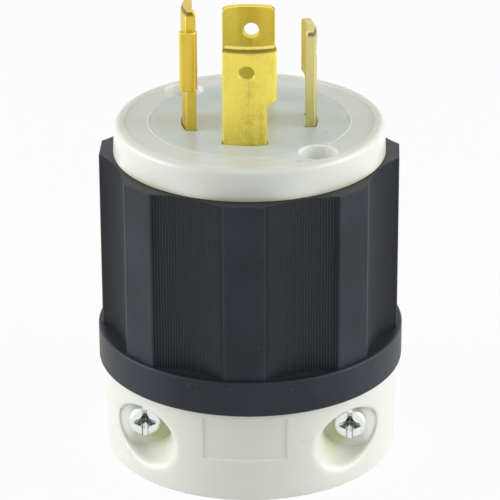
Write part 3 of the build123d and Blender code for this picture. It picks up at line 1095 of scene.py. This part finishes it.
def key_grooves(low, high):
    """Cutters for the two grooves that hold the sleeve's keys."""
    deep = SPIGOT_RADIUS - KEY_HEIGHT - KEY_CLEARANCE
    half = KEY_WIDTH / 2 + KEY_CLEARANCE
    outline = rectangle((deep, -half), (2 * SPIGOT_RADIUS - deep, half))
    return [prism(outline, low, high, about_axis(turn)) for turn in KEY_TURNS]


def blade_seat(azimuth, edges, low, chamfer):
    """Cutters for one blade: the terminal's chamber, the screw's relief and the slot in the face."""
    middle = sum(edges) / 2
    turned = about_axis(azimuth)
    chamber = rectangle(
        (BLADE_OUTER - BLADE_THICKNESS / 2, middle - CHAMBER_WIDTH / 2),
        (2 * SPIGOT_RADIUS, middle + CHAMBER_WIDTH / 2),
    )
    relief = TERMINAL_SCREW_RADIUS + HOLE_CLEARANCE
    across = facing_out(azimuth, middle, TERMINAL_HEIGHT)
    stages = [(low, 0), (SUNK_FACE - chamfer, 0), (SUNK_FACE + 0.5, chamfer + 0.5)]
    slot = [[(x, y, z) for x, y in in_slot(edges, grown)] for z, grown in stages]
    return [
        prism(chamber, low, FRONT_LOW.z + CHAMBER_HEIGHT, turned),
        pin(relief, TERMINAL_TIP - HOLE_CLEARANCE, BLADE_INNER, across),
        loft(slot, turned),
    ]


def screw_recess(turn, low, high, mouth):
    """Cutters for one long screw: its hole and the round-mouthed recess of its head."""
    place = assembly_place(turn)
    profile = [(0, RECESS_FLOOR), (RECESS_RADIUS, RECESS_FLOOR)]
    profile += arc((RECESS_RADIUS + mouth, SUNK_FACE - mouth), mouth, 180, 90)
    profile += [(RECESS_RADIUS + mouth, high), (0, high)]
    hole = pin(ASSEMBLY_SCREW_RADIUS + HOLE_CLEARANCE, low, RECESS_FLOOR + 1, place)
    return [hole, lathe(profile, RECESS_STEPS, place)]


class PLUG_OT_front_body(bpy.types.Operator):
    """Makes the white front body with its face, slots and screw recesses"""

    bl_idname = "plug.front_body"
    bl_label = "Front Body"

    def execute(self, context):
        sizes = context.scene.plug_nylon
        low, high = FRONT_LOW.z - 1, FACE + 1
        cutters = [pin(CORE_RADIUS, low, SHELL_HIGH.z - CORE_ROOF)]
        cutters += key_grooves(low, SHELL_HIGH.z)
        for azimuth, *edges in BLADES.values():
            cutters += blade_seat(azimuth, edges, low, sizes.slot_edge / MM)
        for turn in ASSEMBLY_TURNS:
            cutters += screw_recess(turn, low, high, sizes.mouth / MM)
        body = combined(front_blank(), "DIFFERENCE", cutters)
        # Painted light and shade in the front body: olive light at the collar's foot, grey shade in the
        # sunk face, pale light in the recesses
        tints = ((collar_painted_glow, OLIVE), (sunk_face_painted_shade, COOL_GREY), (recess_painted_glow, PALE))
        material = white_nylon(context.scene.plug_colours.white_nylon, "Front Nylon", tints)
        settle("front_body", body, material, ["front_body"])
        return {"FINISHED"}


def soft_max(first, second, width):
    """The larger of two values, with the change from one to the other rounded."""
    blend = max(width - abs(first - second), 0) / width
    return max(first, second) + blend * blend * width / 4


class ScrewPocket:
    """The flared pocket of one clamp screw, seen along Y. Its points are (x, reach, z)."""

    def __init__(self, sizes):
        self.lip = sizes.lip / MM
        self.lower_lip = sizes.lower_lip / MM
        self.reach = HOUSING_RADIUS - POCKET_FLOOR
        self.grow = POCKET_MOUTH_RADIUS - POCKET_FLOOR_RADIUS
        self.drop = POCKET_MOUTH_Z - POCKET_FLOOR_Z

    @staticmethod
    def floor(x):
        """How far out the pocket's floor lies. It falls away outside the screw's head."""
        share = min(max((x - CLAMP_OFFSET - DISH_START) / DISH_WIDTH, 0), 1)
        return POCKET_FLOOR - POCKET_DISH * share * share * (3 - 2 * share)

    def surplus(self, point):
        """How far a point lies outside the nylon, with the pocket's lip rounded."""
        x, reach, z = point
        share = (reach - POCKET_FLOOR) / self.reach
        below = POCKET_FLOOR_Z + self.drop * share - z
        away = hypot(x - CLAMP_OFFSET, below)
        inside = POCKET_FLOOR_RADIUS + self.grow * share - away
        pocket = -soft_max(-inside, self.floor(x) - reach, POCKET_FOOT_EDGE)
        lean = min(max(below / POCKET_MOUTH_RADIUS, 0), 1) ** 2
        lip = self.lip + (self.lower_lip - self.lip) * lean
        return soft_max(hypot(x, reach) - HOUSING_RADIUS, pocket, lip)

    def settled(self, point):
        """The nearest place on the rounded surface to a point near it."""
        for _ in range(SETTLE_ROUNDS):
            surplus = self.surplus(point)
            slope = Vector([
                (self.surplus(point + Vector(axis) * PROBE) - surplus) / PROBE
                for axis in ((1, 0, 0), (0, 1, 0), (0, 0, 1))
            ])
            point = point - slope * surplus / max(slope.length_squared, LEAST_SLOPE)
        return point

    def wall_reach(self, x, z):
        """How far out the pocket's flared wall stands over a place."""
        aside, above = x - CLAMP_OFFSET, z - POCKET_FLOOR_Z
        # Its share of the way out solves a * share ** 2 + b * share + c = 0
        a = self.drop ** 2 - self.grow ** 2
        b = -2 * (above * self.drop + POCKET_FLOOR_RADIUS * self.grow)
        c = aside ** 2 + above ** 2 - POCKET_FLOOR_RADIUS ** 2
        wall = POCKET_FLOOR + self.reach * (-b - sqrt(max(b * b - 4 * a * c, 0))) / (2 * a)
        return max(wall, self.floor(x))

    def spoke(self, end):
        """Points from the floor's centre up the wall and over the lip to a place on the housing."""
        start = Vector((CLAMP_OFFSET, POCKET_FLOOR_Z))
        line = Vector((end[0], end[2])) - start

        def on_housing(share):
            x, z = start + line * share
            return Vector((x, sqrt(HOUSING_RADIUS ** 2 - x * x), z))

        low, high = 0, 1
        for _ in range(HALVINGS):
            middle = (low + high) / 2
            x, reach, z = on_housing(middle)
            low, high = (low, middle) if self.wall_reach(x, z) > reach else (middle, high)
        rim = on_housing(low)
        foot_share = min(POCKET_FLOOR_RADIUS / line.length, low - POCKET_FOOT_GAP / line.length)
        foot = start + line * foot_share
        foot = Vector((foot.x, self.floor(foot.x), foot.y))
        centre = Vector((start.x, POCKET_FLOOR, start.y))
        steps = [part / FLOOR_STEPS for part in range(1, FLOOR_STEPS)]
        points = [centre, *(self.settled(centre.lerp(foot, step)) for step in steps)]
        # The points crowd towards the edge between the wall and the housing
        steps = [1 - (1 - part / WALL_STEPS) ** WALL_CROWDING for part in range(WALL_STEPS + 1)]
        points += [self.settled(foot.lerp(rim, step)) for step in steps]
        steps = [(part / LIP_STEPS) ** LIP_CROWDING for part in range(1, LIP_STEPS)]
        points += [self.settled(on_housing(low + (1 - low) * step)) for step in steps]
        return points + [Vector(end)]


def on_wall(bearing, z):
    """A place on the rear housing's outside as (x, reach, z). The panel is sunk into it."""
    turn = radians(bearing)
    radius = HOUSING_RADIUS
    if abs(bearing) < WINDOW_START:
        out = abs(radius * sin(turn)) - PANEL_HALF_WIDTH + PANEL_CORNER
        up = abs(z - PANEL_MIDDLE) - PANEL_HALF_HEIGHT + PANEL_CORNER
        edge = hypot(max(out, 0), max(up, 0)) + min(max(out, up), 0) - PANEL_CORNER
        share = min(max(0.5 - edge / PANEL_SLOPE, 0), 1)
        radius -= PANEL_DEPTH * share
    return Vector((radius * sin(turn), radius * cos(turn), z))


def rear_blank(sizes):
    """The rear housing before it is cut, with its panel and both screw pockets."""
    offsets = (-0.5, -0.25, -PANEL_SLOPE / 2, PANEL_SLOPE / 2, 0.25, 0.5)
    panel_turns = [degrees(asin((PANEL_HALF_WIDTH + step) / HOUSING_RADIUS)) for step in offsets]
    half = [0, *panel_turns, WINDOW_START, WINDOW_END, 180]
    stops = [-turn for turn in reversed(half[1:])] + half
    bearings = spread(stops, BEARING_STEP)[:-1]
    low, high = PANEL_MIDDLE - PANEL_HALF_HEIGHT, PANEL_MIDDLE + PANEL_HALF_HEIGHT
    stops = [HOUSING_EDGE, WINDOW_LOW] + [low + step for step in offsets]
    stops += [high + step for step in offsets[:4]] + [WINDOW_HIGH, HOUSING_TOP - SHOULDER_CHAMFER]
    heights = spread(stops, HEIGHT_STEP)

    foot = arc((HOUSING_RADIUS - HOUSING_EDGE, HOUSING_EDGE), HOUSING_EDGE, 270, 360, 7)[:-1]
    top = [(HOUSING_RADIUS - SHOULDER_CHAMFER, HOUSING_TOP), (SPIGOT_RADIUS, HOUSING_TOP)]
    top += [(SPIGOT_RADIUS, REAR_HIGH.z - SPIGOT_CHAMFER)]
    top += [(SPIGOT_RADIUS - SPIGOT_CHAMFER, REAR_HIGH.z)]
    columns = []
    for bearing in bearings:
        spoke = Vector((sin(radians(bearing)), cos(radians(bearing)), 0))
        below, above = (
            [spoke * radius + Vector((0, 0, z)) for radius, z in part] for part in (foot, top)
        )
        columns.append(below + [on_wall(bearing, z) for z in heights] + above)

    # The wall, without the two windows that the pockets fill
    count, rows = len(columns), len(columns[0])
    points = [point for column in columns for point in column]
    faces = [[column * rows + row for column in range(count)] for row in (0, rows - 1)]
    for face in woven(0, count, rows):
        column, row = divmod(face[0], rows)
        turns = sorted((abs(bearings[column]), abs(bearings[(column + 1) % count])))
        beside = turns[0] > WINDOW_START - WELD and turns[1] < WINDOW_END + WELD
        z_low, z_high = columns[column][row].z, columns[column][row + 1].z
        within = z_low > WINDOW_LOW - WELD and z_high < WINDOW_HIGH + WELD
        if not (beside and within):
            faces.append(face)

    # A pocket's patch: spokes from its floor's centre to the window's border
    inside = [turn for turn in bearings if WINDOW_START - WELD < turn < WINDOW_END + WELD]
    levels = [z for z in heights if WINDOW_LOW - WELD < z < WINDOW_HIGH + WELD]
    border = [(turn, levels[0]) for turn in inside[:-1]] + [(inside[-1], z) for z in levels[:-1]]
    border += [(turn, levels[-1]) for turn in reversed(inside[1:])]
    border += [(inside[0], z) for z in reversed(levels[1:])]
    pocket = ScrewPocket(sizes)
    spokes = [pocket.spoke(on_wall(turn, z)) for turn, z in border]
    for mirror in (1, -1):
        faces += woven(len(points), len(spokes), len(spokes[0]))
        points += [Vector((mirror * x, reach, z)) for spoke in spokes for x, reach, z in spoke]
    return solid([(x, -reach, z) for x, reach, z in points], faces)


class PLUG_OT_rear_housing(bpy.types.Operator):
    """Makes the white rear housing with its screw pockets, bare panel and cord passage"""

    bl_idname = "plug.rear_housing"
    bl_label = "Rear Housing"

    def execute(self, context):
        high = REAR_HIGH.z + 1
        places = [assembly_place(turn) for turn in ASSEMBLY_TURNS]
        bosses = [pin(BOSS_RADIUS, DECK - 1, high + 1, place) for place in places]
        room = pin(ROOM_RADIUS, DECK, high, steps=PASSAGE_STEPS)
        cutters = [combined(room, "DIFFERENCE", bosses)]
        mouth = [(0, -1), (CORD_RADIUS + CORD_EDGE, -1)]
        mouth += arc((CORD_RADIUS + CORD_EDGE, CORD_EDGE), CORD_EDGE, 270, 180)
        mouth += [(CORD_RADIUS, CORD_LIP + 1), (0, CORD_LIP + 1)]
        cutters.append(lathe(mouth, PASSAGE_STEPS))
        cutters.append(pin(PASSAGE_RADIUS, CORD_LIP, DECK + 1, steps=PASSAGE_STEPS))
        cavity = rectangle(
            (JAW_LOW.x - SLIDE_CLEARANCE, JAW_LOW.y - SLIDE_CLEARANCE),
            (JAW_HIGH.x + SLIDE_CLEARANCE, JAW_HIGH.y + SLIDE_CLEARANCE),
        )
        cutters.append(prism(cavity, CORD_LIP, high))
        hole = CLAMP_SCREW_RADIUS + HOLE_CLEARANCE
        for x in (-CLAMP_OFFSET, CLAMP_OFFSET):
            place = along_front(x, CLAMP_HEIGHT)
            cutters.append(pin(hole, -JAW_LOW.y - 0.5, POCKET_FLOOR + 0.5, place))
        for place in places:
            cutters.append(pin(INSERT_RADIUS + THREAD_CLEARANCE, INSERT_FLOOR, high, place))
        cutters += key_grooves(HOUSING_TOP, high)
        housing = combined(rear_blank(context.scene.plug_nylon), "DIFFERENCE", cutters)
        ribs = [self.saddle_rib(index) for index in range(SADDLE_RIBS)]
        housing = combined(housing, "UNION", ribs)
        # An ivory tone all over the rear housing, and painted olive light in its screw pockets
        tints = ((whole, IVORY), (pocket_painted_glow, OLIVE))
        material = white_nylon(context.scene.plug_colours.white_nylon, "Rear Nylon", tints)
        settle("rear_housing", housing, material, ["rear_housing"])
        return {"FINISHED"}

    @staticmethod
    def saddle_rib(index):
        """A half ring in the front of the cord passage that grips the cord."""
        pitch = (DECK - CORD_LIP) / SADDLE_RIBS
        low = CORD_LIP + pitch * (index + 0.5) - SADDLE_RIB_WIDTH / 2
        inner = arc((0, 0), PASSAGE_RADIUS - SADDLE_RIB_HEIGHT, 360, 180, 48)
        outer = arc((0, 0), PASSAGE_RADIUS + SADDLE_RIB_HEIGHT, 180, 360, 48)
        return prism(inner + outer, low, low + SADDLE_RIB_WIDTH)


# Brass and steel

def blade_outline(name, edges):
    """A blade's flat outline, with x counter-clockwise and y up, its round holes and its tip's height."""
    left, right = edges
    holes = [((sum(edges) / 2, TERMINAL_HEIGHT), TERMINAL_SCREW_RADIUS + THREAD_CLEARANCE)]
    corners = [(left, LEG_BOTTOM, LEG_CORNER), (right, LEG_BOTTOM, LEG_CORNER)]
    if name == "blade_ground":
        tip = FACE + GROUND_REACH
        corners += [(right, tip, TIP_CORNER)]
    else:
        tip = FACE + BLADE_REACH
        hook = FACE + HOOK_HEIGHT
        corners += [(right, hook - HOOK_DROP, HOOK_RADIUS), (HOOK_SIDE, hook, HOOK_RADIUS / 2)]
        corners += [(HOOK_SIDE, tip, TIP_CORNER)]
        holes.append(((0, FACE + BLADE_HOLE_HEIGHT), BLADE_HOLE_RADIUS))
    return rounded(corners + [(left, tip, TIP_CORNER)]), holes, tip


def stamped(outline, holes, thickness, edge):
    """A flat sheet with rounded edges, made by a filled curve. Its outside faces +Z."""
    curve = bpy.data.curves.new("stamped", "CURVE")
    curve.dimensions = "2D"
    curve.fill_mode = "BOTH"
    curve.extrude = thickness / 2 - edge
    curve.bevel_depth = edge
    curve.bevel_resolution = 2
    curve.offset = -edge
    rings = [arc(centre, radius, 0, 360, 48)[:-1] for centre, radius in holes]
    for ring in [outline, *rings]:
        spline = curve.splines.new("POLY")
        spline.points.add(len(ring) - 1)
        spline.points.foreach_set("co", [value for x, y in ring for value in (x, y, 0, 1)])
        spline.use_cyclic_u = True
    form = bmesh.new()
    form.from_mesh(evaluated(curve))
    return closed(form)


def bent(sheet, azimuth):
    """A flat sheet formed to the blades' circle and turned to its azimuth."""
    form = bmesh.new()
    form.from_mesh(sheet)
    low = min(corner.co.x for corner in form.verts)
    high = max(corner.co.x for corner in form.verts)
    for line in spread([low, high], BEND_STEP)[1:-1]:
        geometry = form.verts[:] + form.edges[:] + form.faces[:]
        bmesh.ops.bisect_plane(form, geom=geometry, plane_co=(line, 0, 0), plane_no=(1, 0, 0))
    turned = about_axis(azimuth)
    for corner in form.verts:
        side, up, rise = corner.co
        radius = BLADE_INNER + BLADE_THICKNESS / 2 + rise
        corner.co = turned @ Vector((sqrt(radius ** 2 - side ** 2), side, up))
    return closed(form)


def tip_wedge(tip):
    """The cutter of the bevel along the outside of a sheet's tip."""
    outside = BLADE_THICKNESS / 2
    wedge = [(outside - TIP_BEVEL_DEPTH, tip), (outside, tip - TIP_BEVEL_HEIGHT)]
    wedge += [(outside + 1, tip - TIP_BEVEL_HEIGHT), (outside + 1, tip + 1)]
    wedge += [(outside - 2 * TIP_BEVEL_DEPTH, tip + 1)]
    ends = (-BLADE_OUTER, BLADE_OUTER)
    return loft([[(x, y, z) for z, y in wedge] for x in ends])


class PLUG_OT_blades(bpy.types.Operator):
    """Makes the four brass blades with their stamped edges, bevelled tips and hooks"""

    bl_idname = "plug.blades"
    bl_label = "Blades"

    def execute(self, context):
        colours = context.scene.plug_colours
        edge = context.scene.plug_metal.blade_edge / MM
        for name, (azimuth, *edges) in BLADES.items():
            outline, holes, tip = blade_outline(name, edges)
            # Each blade gets its own lit copy of the brass: painted light
            tones = [times(tone, BLADE_PAINTED_LIGHT[name]) for tone in (colours.brass, colours.tarnish)]
            material = brass(*tones, f"Brass {name}", tip)
            sheet = stamped(outline, holes, BLADE_THICKNESS, edge)
            blade = bent(combined(sheet, "DIFFERENCE", [tip_wedge(tip)]), azimuth)
            if name == "blade_ground":
                blade = combined(blade, "UNION", [self.tab(azimuth, edge)])
            settle(name, blade, material, [name], sharp=35)
        return {"FINISHED"}

    @staticmethod
    def tab(azimuth, edge):
        """The hook of the ground blade, bent across its edge."""
        inner = BLADE_OUTER - TAB_WIDTH
        sides = TAB_SIDE - BLADE_THICKNESS, TAB_SIDE
        low, high = FACE + TAB_BOTTOM, FACE + TAB_BOTTOM + TAB_HEIGHT

        def level(z, inset):
            corners = [
                (inner + inset, sides[0] + inset, TAB_INNER_EDGE),
                (BLADE_OUTER - inset, sides[0] + inset, TAB_INNER_EDGE),
                (BLADE_OUTER - inset, sides[1] - inset, TAB_EDGE - inset),
                (inner + inset, sides[1] - inset, TAB_BEND - inset),
            ]
            return [(x, y, z) for x, y in rounded(corners)]

        turns = (0, pi / 6, pi / 3, pi / 2)
        bends = [(edge * (1 - sin(turn)), edge * (1 - cos(turn))) for turn in turns]
        levels = [level(low + rise, inset) for rise, inset in reversed(bends)]
        levels += [level(high - rise, inset) for rise, inset in bends]
        return loft(levels, about_axis(azimuth))


def cross_outline(reach, arm, corner):
    """A cross with rounded ends whose arms widen towards the middle."""
    points = []
    for quarter in range(4):
        turn = Matrix.Rotation(quarter * pi / 2, 2)
        end = arc((reach - arm, 0), arm, -90, 90, 8)
        points += [turn @ Vector(point) for point in [*end, (corner, corner)]]
    return points


def screw(shank, tip, seat, head, height, sizes, place):
    """A round-headed screw with a slot across a cross. Its place has Z along the screw."""
    top = seat + height
    edge = HEAD_ROUNDING * height
    chamfer, foot = SCREW_TIP_CHAMFER, HEAD_FOOT_EDGE
    profile = [(0, tip), (shank - chamfer, tip), (shank, tip + chamfer), (shank, seat)]
    profile += arc((head - foot, seat + foot), foot, 270, 360, 3)
    profile += arc((head - edge, top - edge - HEAD_CROWN), edge, 0, 80, 8)
    profile += [(head / 2, top - HEAD_CROWN / 3), (0, top)]
    blank = lathe(profile, HEAD_STEPS, place)
    half = sizes.slot_width / MM / 2
    depth = sizes.slot_depth / MM
    slot = prism(rectangle((-half, -head - 1), (half, head + 1)), top - depth, top + 1, place)
    reach, arm = sizes.cross_reach / MM, sizes.cross_arm / MM
    deep = sizes.cross_depth / MM
    outline = cross_outline(reach, arm, arm * CROSS_CORNER)
    # Each stage has a height and the share of the outline's size there
    stages = [(top + 0.3, 1.06), (top - 0.25, 1.0), (top - deep * 0.7, 0.62), (top - deep, 0.15)]
    cross = loft([[(x * share, y * share, z) for x, y in outline] for z, share in stages], place)
    return combined(blank, "DIFFERENCE", [slot, cross])


class PLUG_OT_clamp_screws(bpy.types.Operator):
    """Makes the two clamp screws in the rear housing's pockets"""

    bl_idname = "plug.clamp_screws"
    bl_label = "Clamp Screws"

    def execute(self, context):
        material = plated_steel(context.scene.plug_colours.steel, "Clamp Steel", clamp_painted_shade)
        for name, x in (("clamp_screw_left", -CLAMP_OFFSET), ("clamp_screw_right", CLAMP_OFFSET)):
            low, high = corners_of(name)
            form = screw(
                CLAMP_SCREW_RADIUS, -high.y, POCKET_FLOOR, CLAMP_HEAD_RADIUS,
                -low.y - POCKET_FLOOR, context.scene.plug_metal, along_front(x, CLAMP_HEIGHT),
            )
            settle(name, form, material, [name])
        return {"FINISHED"}


class PLUG_OT_assembly_screws(bpy.types.Operator):
    """Makes the two long screws that are sunk in the face"""

    bl_idname = "plug.assembly_screws"
    bl_label = "Assembly Screws"

    def execute(self, context):
        material = plated_steel(context.scene.plug_colours.steel)
        names = ("assembly_screw_front", "assembly_screw_back")
        for name, turn in zip(names, ASSEMBLY_TURNS):
            low, high = corners_of(name)
            place = assembly_place(turn)
            form = screw(
                ASSEMBLY_SCREW_RADIUS, low.z, RECESS_FLOOR, ASSEMBLY_HEAD_RADIUS,
                high.z - RECESS_FLOOR, context.scene.plug_metal, place,
            )
            settle(name, form, material, [name])
        return {"FINISHED"}


class PLUG_OT_inner_pieces(bpy.types.Operator):
    """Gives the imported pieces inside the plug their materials"""

    bl_idname = "plug.inner_pieces"
    bl_label = "Inner Pieces"

    def execute(self, context):
        colours = context.scene.plug_colours
        dress(INNER_BRASS, brass(colours.brass, colours.tarnish, "Inner Brass"))
        dress(INNER_STEEL, plated_steel(colours.steel, "Inner Steel"))
        dress(("terminal_screw_ground",), painted_steel(colours.ground_green))
        dress(("terminal_retainer",), black_nylon(colours.black_nylon, "Inner Black"))
        dress(("clamp_jaw",), white_nylon(colours.white_nylon, "Inner White"))
        return {"FINISHED"}


# Stage

FLOOR_Z = -0.02 * MM
FLOOR_SIZE = 4.0
FLOOR_COLOUR = (0.9, 0.9, 0.9, 1)
FLOOR_SHADOW = 0.06
WORLD_LEVEL = 0.28
WHITE = (1, 1, 1, 1)
SENSOR_WIDTH = 36
NEAREST_SEEN = 0.05

# Each lamp's place and width in metres, and its power in watts
LAMPS = (
    ("lamp_left", (-0.50, -0.04, 0.16), 0.40, 2.3),
    ("lamp_right", (0.50, -0.04, 0.16), 0.40, 2.3),
    ("lamp_top", (0.0, -0.10, 0.60), 0.50, 0.6),
)


def area_lamp(name, place, size, power, target):
    """A square soft lamp that faces a point."""
    lamp = bpy.data.lights.new(name, "AREA")
    lamp.shape = "SQUARE"
    lamp.size = size
    lamp.energy = power
    holder = bpy.data.objects.new(name, lamp)
    bpy.context.scene.collection.objects.link(holder)
    holder.location = place
    holder.rotation_euler = (target - Vector(place)).to_track_quat("-Z", "Y").to_euler()


def seen_directly(sheet):
    """1 for rays that show the background itself: from the camera, a gloss or a glass."""
    path = sheet.node("ShaderNodeLightPath", output="Is Camera Ray")
    glossy = sheet.again(path, "Is Glossy Ray")
    through = sheet.again(path, "Is Transmission Ray")
    return path.maximum(glossy).maximum(through)


def white_world():
    """A world that is white where it is seen and plain soft light elsewhere."""
    world = bpy.data.worlds.new("Studio")
    world.use_nodes = True
    bpy.context.scene.world = world
    sheet = NodeSheet(world.node_tree)
    strength = WORLD_LEVEL + (1 - WORLD_LEVEL) * seen_directly(sheet)
    shade = sheet.node("ShaderNodeBackground", values={"Color": WHITE, "Strength": strength})
    sheet.node("ShaderNodeOutputWorld", values={"Surface": shade})


def studio_floor():
    """A pale floor that shows white and keeps a soft share of the object's shadow."""
    mesh = bpy.data.meshes.new("floor")
    half = FLOOR_SIZE / 2
    corners = [(x, y, FLOOR_Z) for x, y in rectangle((-half, -half), (half, half))]
    mesh.from_pydata(corners, [], [(0, 1, 2, 3)])
    floor = bpy.data.objects.new("floor", mesh)
    bpy.context.scene.collection.objects.link(floor)
    surface = Surface("Studio Floor")
    matt = surface.node("ShaderNodeBsdfDiffuse", values={"Color": FLOOR_COLOUR})
    white = surface.node("ShaderNodeEmission", values={"Color": WHITE, "Strength": 1.0})
    shown = seen_directly(surface) * (1 - FLOOR_SHADOW)
    mixed = surface.node("ShaderNodeMixShader", values={0: shown, 1: matt, 2: white})
    surface.node("ShaderNodeOutputMaterial", values={"Surface": mixed})
    mesh.materials.append(surface.material)


class PLUG_OT_stage(bpy.types.Operator):
    """Sets the floor, the lamps, the world and the camera"""

    bl_idname = "plug.stage"
    bl_label = "Stage"

    def execute(self, context):
        settings = context.scene.plug_stage
        aim = Vector((0, 0, settings.aim_height))
        studio_floor()
        white_world()
        for name, place, size, power in LAMPS:
            area_lamp(name, place, size, power * settings.lamp_level, aim)
        self.place_camera(context.scene, settings, aim)
        context.scene.view_settings.view_transform = "Standard"
        return {"FINISHED"}

    @staticmethod
    def place_camera(scene, settings, aim):
        """Stands the camera where the photograph was taken from."""
        data = bpy.data.cameras.new("camera")
        data.lens = settings.lens
        data.sensor_width = SENSOR_WIDTH
        data.clip_start = NEAREST_SEEN
        camera = bpy.data.objects.new("camera", data)
        scene.collection.objects.link(camera)
        away = Vector((
            sin(settings.azimuth) * cos(settings.elevation),
            -cos(settings.azimuth) * cos(settings.elevation),
            sin(settings.elevation),
        ))
        look = (-away).to_track_quat("-Z", "Y").to_matrix().to_4x4()
        place = Matrix.Translation(aim + away * settings.distance)
        camera.matrix_world = place @ look @ Matrix.Rotation(settings.roll, 4, "Z")
        scene.camera = camera


class PLUG_PT_panel(bpy.types.Panel):
    """Lists the plug's sizes, colours and steps"""

    bl_idname = "PLUG_PT_panel"
    bl_label = "Locking Power Plug"
    bl_space_type = "VIEW_3D"
    bl_region_type = "UI"
    bl_category = "Plug"

    def draw(self, context):
        layout = self.layout
        for group in GROUPS:
            box = layout.box()
            settings = getattr(context.scene, group)
            for name in settings.bl_rna.properties.keys():
                if name not in ("rna_type", "name"):
                    box.prop(settings, name)
        for step in STEPS:
            layout.operator(step.bl_idname)


GROUPS = {
    "plug_shell": PlugShellSizes,
    "plug_nylon": PlugNylonSizes,
    "plug_metal": PlugMetalSizes,
    "plug_colours": PlugColours,
    "plug_stage": PlugStageSettings,
}
STEPS = (
    PLUG_OT_shell,
    PLUG_OT_front_body,
    PLUG_OT_rear_housing,
    PLUG_OT_blades,
    PLUG_OT_clamp_screws,
    PLUG_OT_assembly_screws,
    PLUG_OT_inner_pieces,
    PLUG_OT_stage,
)


def register():
    """Adds the classes and the scene's settings to Blender."""
    for group in GROUPS.values():
        bpy.utils.register_class(group)
    for name, group in GROUPS.items():
        setattr(bpy.types.Scene, name, PointerProperty(type=group))
    for step in STEPS:
        bpy.utils.register_class(step)
    bpy.utils.register_class(PLUG_PT_panel)


def unregister():
    """Takes the settings and the classes out again."""
    bpy.utils.unregister_class(PLUG_PT_panel)
    for step in reversed(STEPS):
        bpy.utils.unregister_class(step)
    for name in GROUPS:
        delattr(bpy.types.Scene, name)
    for group in reversed(GROUPS.values()):
        bpy.utils.unregister_class(group)


def main():
    """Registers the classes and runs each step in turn."""
    register()
    for step in STEPS:
        group, name = step.bl_idname.split(".")
        getattr(getattr(bpy.ops, group), name)()


if __name__ == "__main__":
    main()
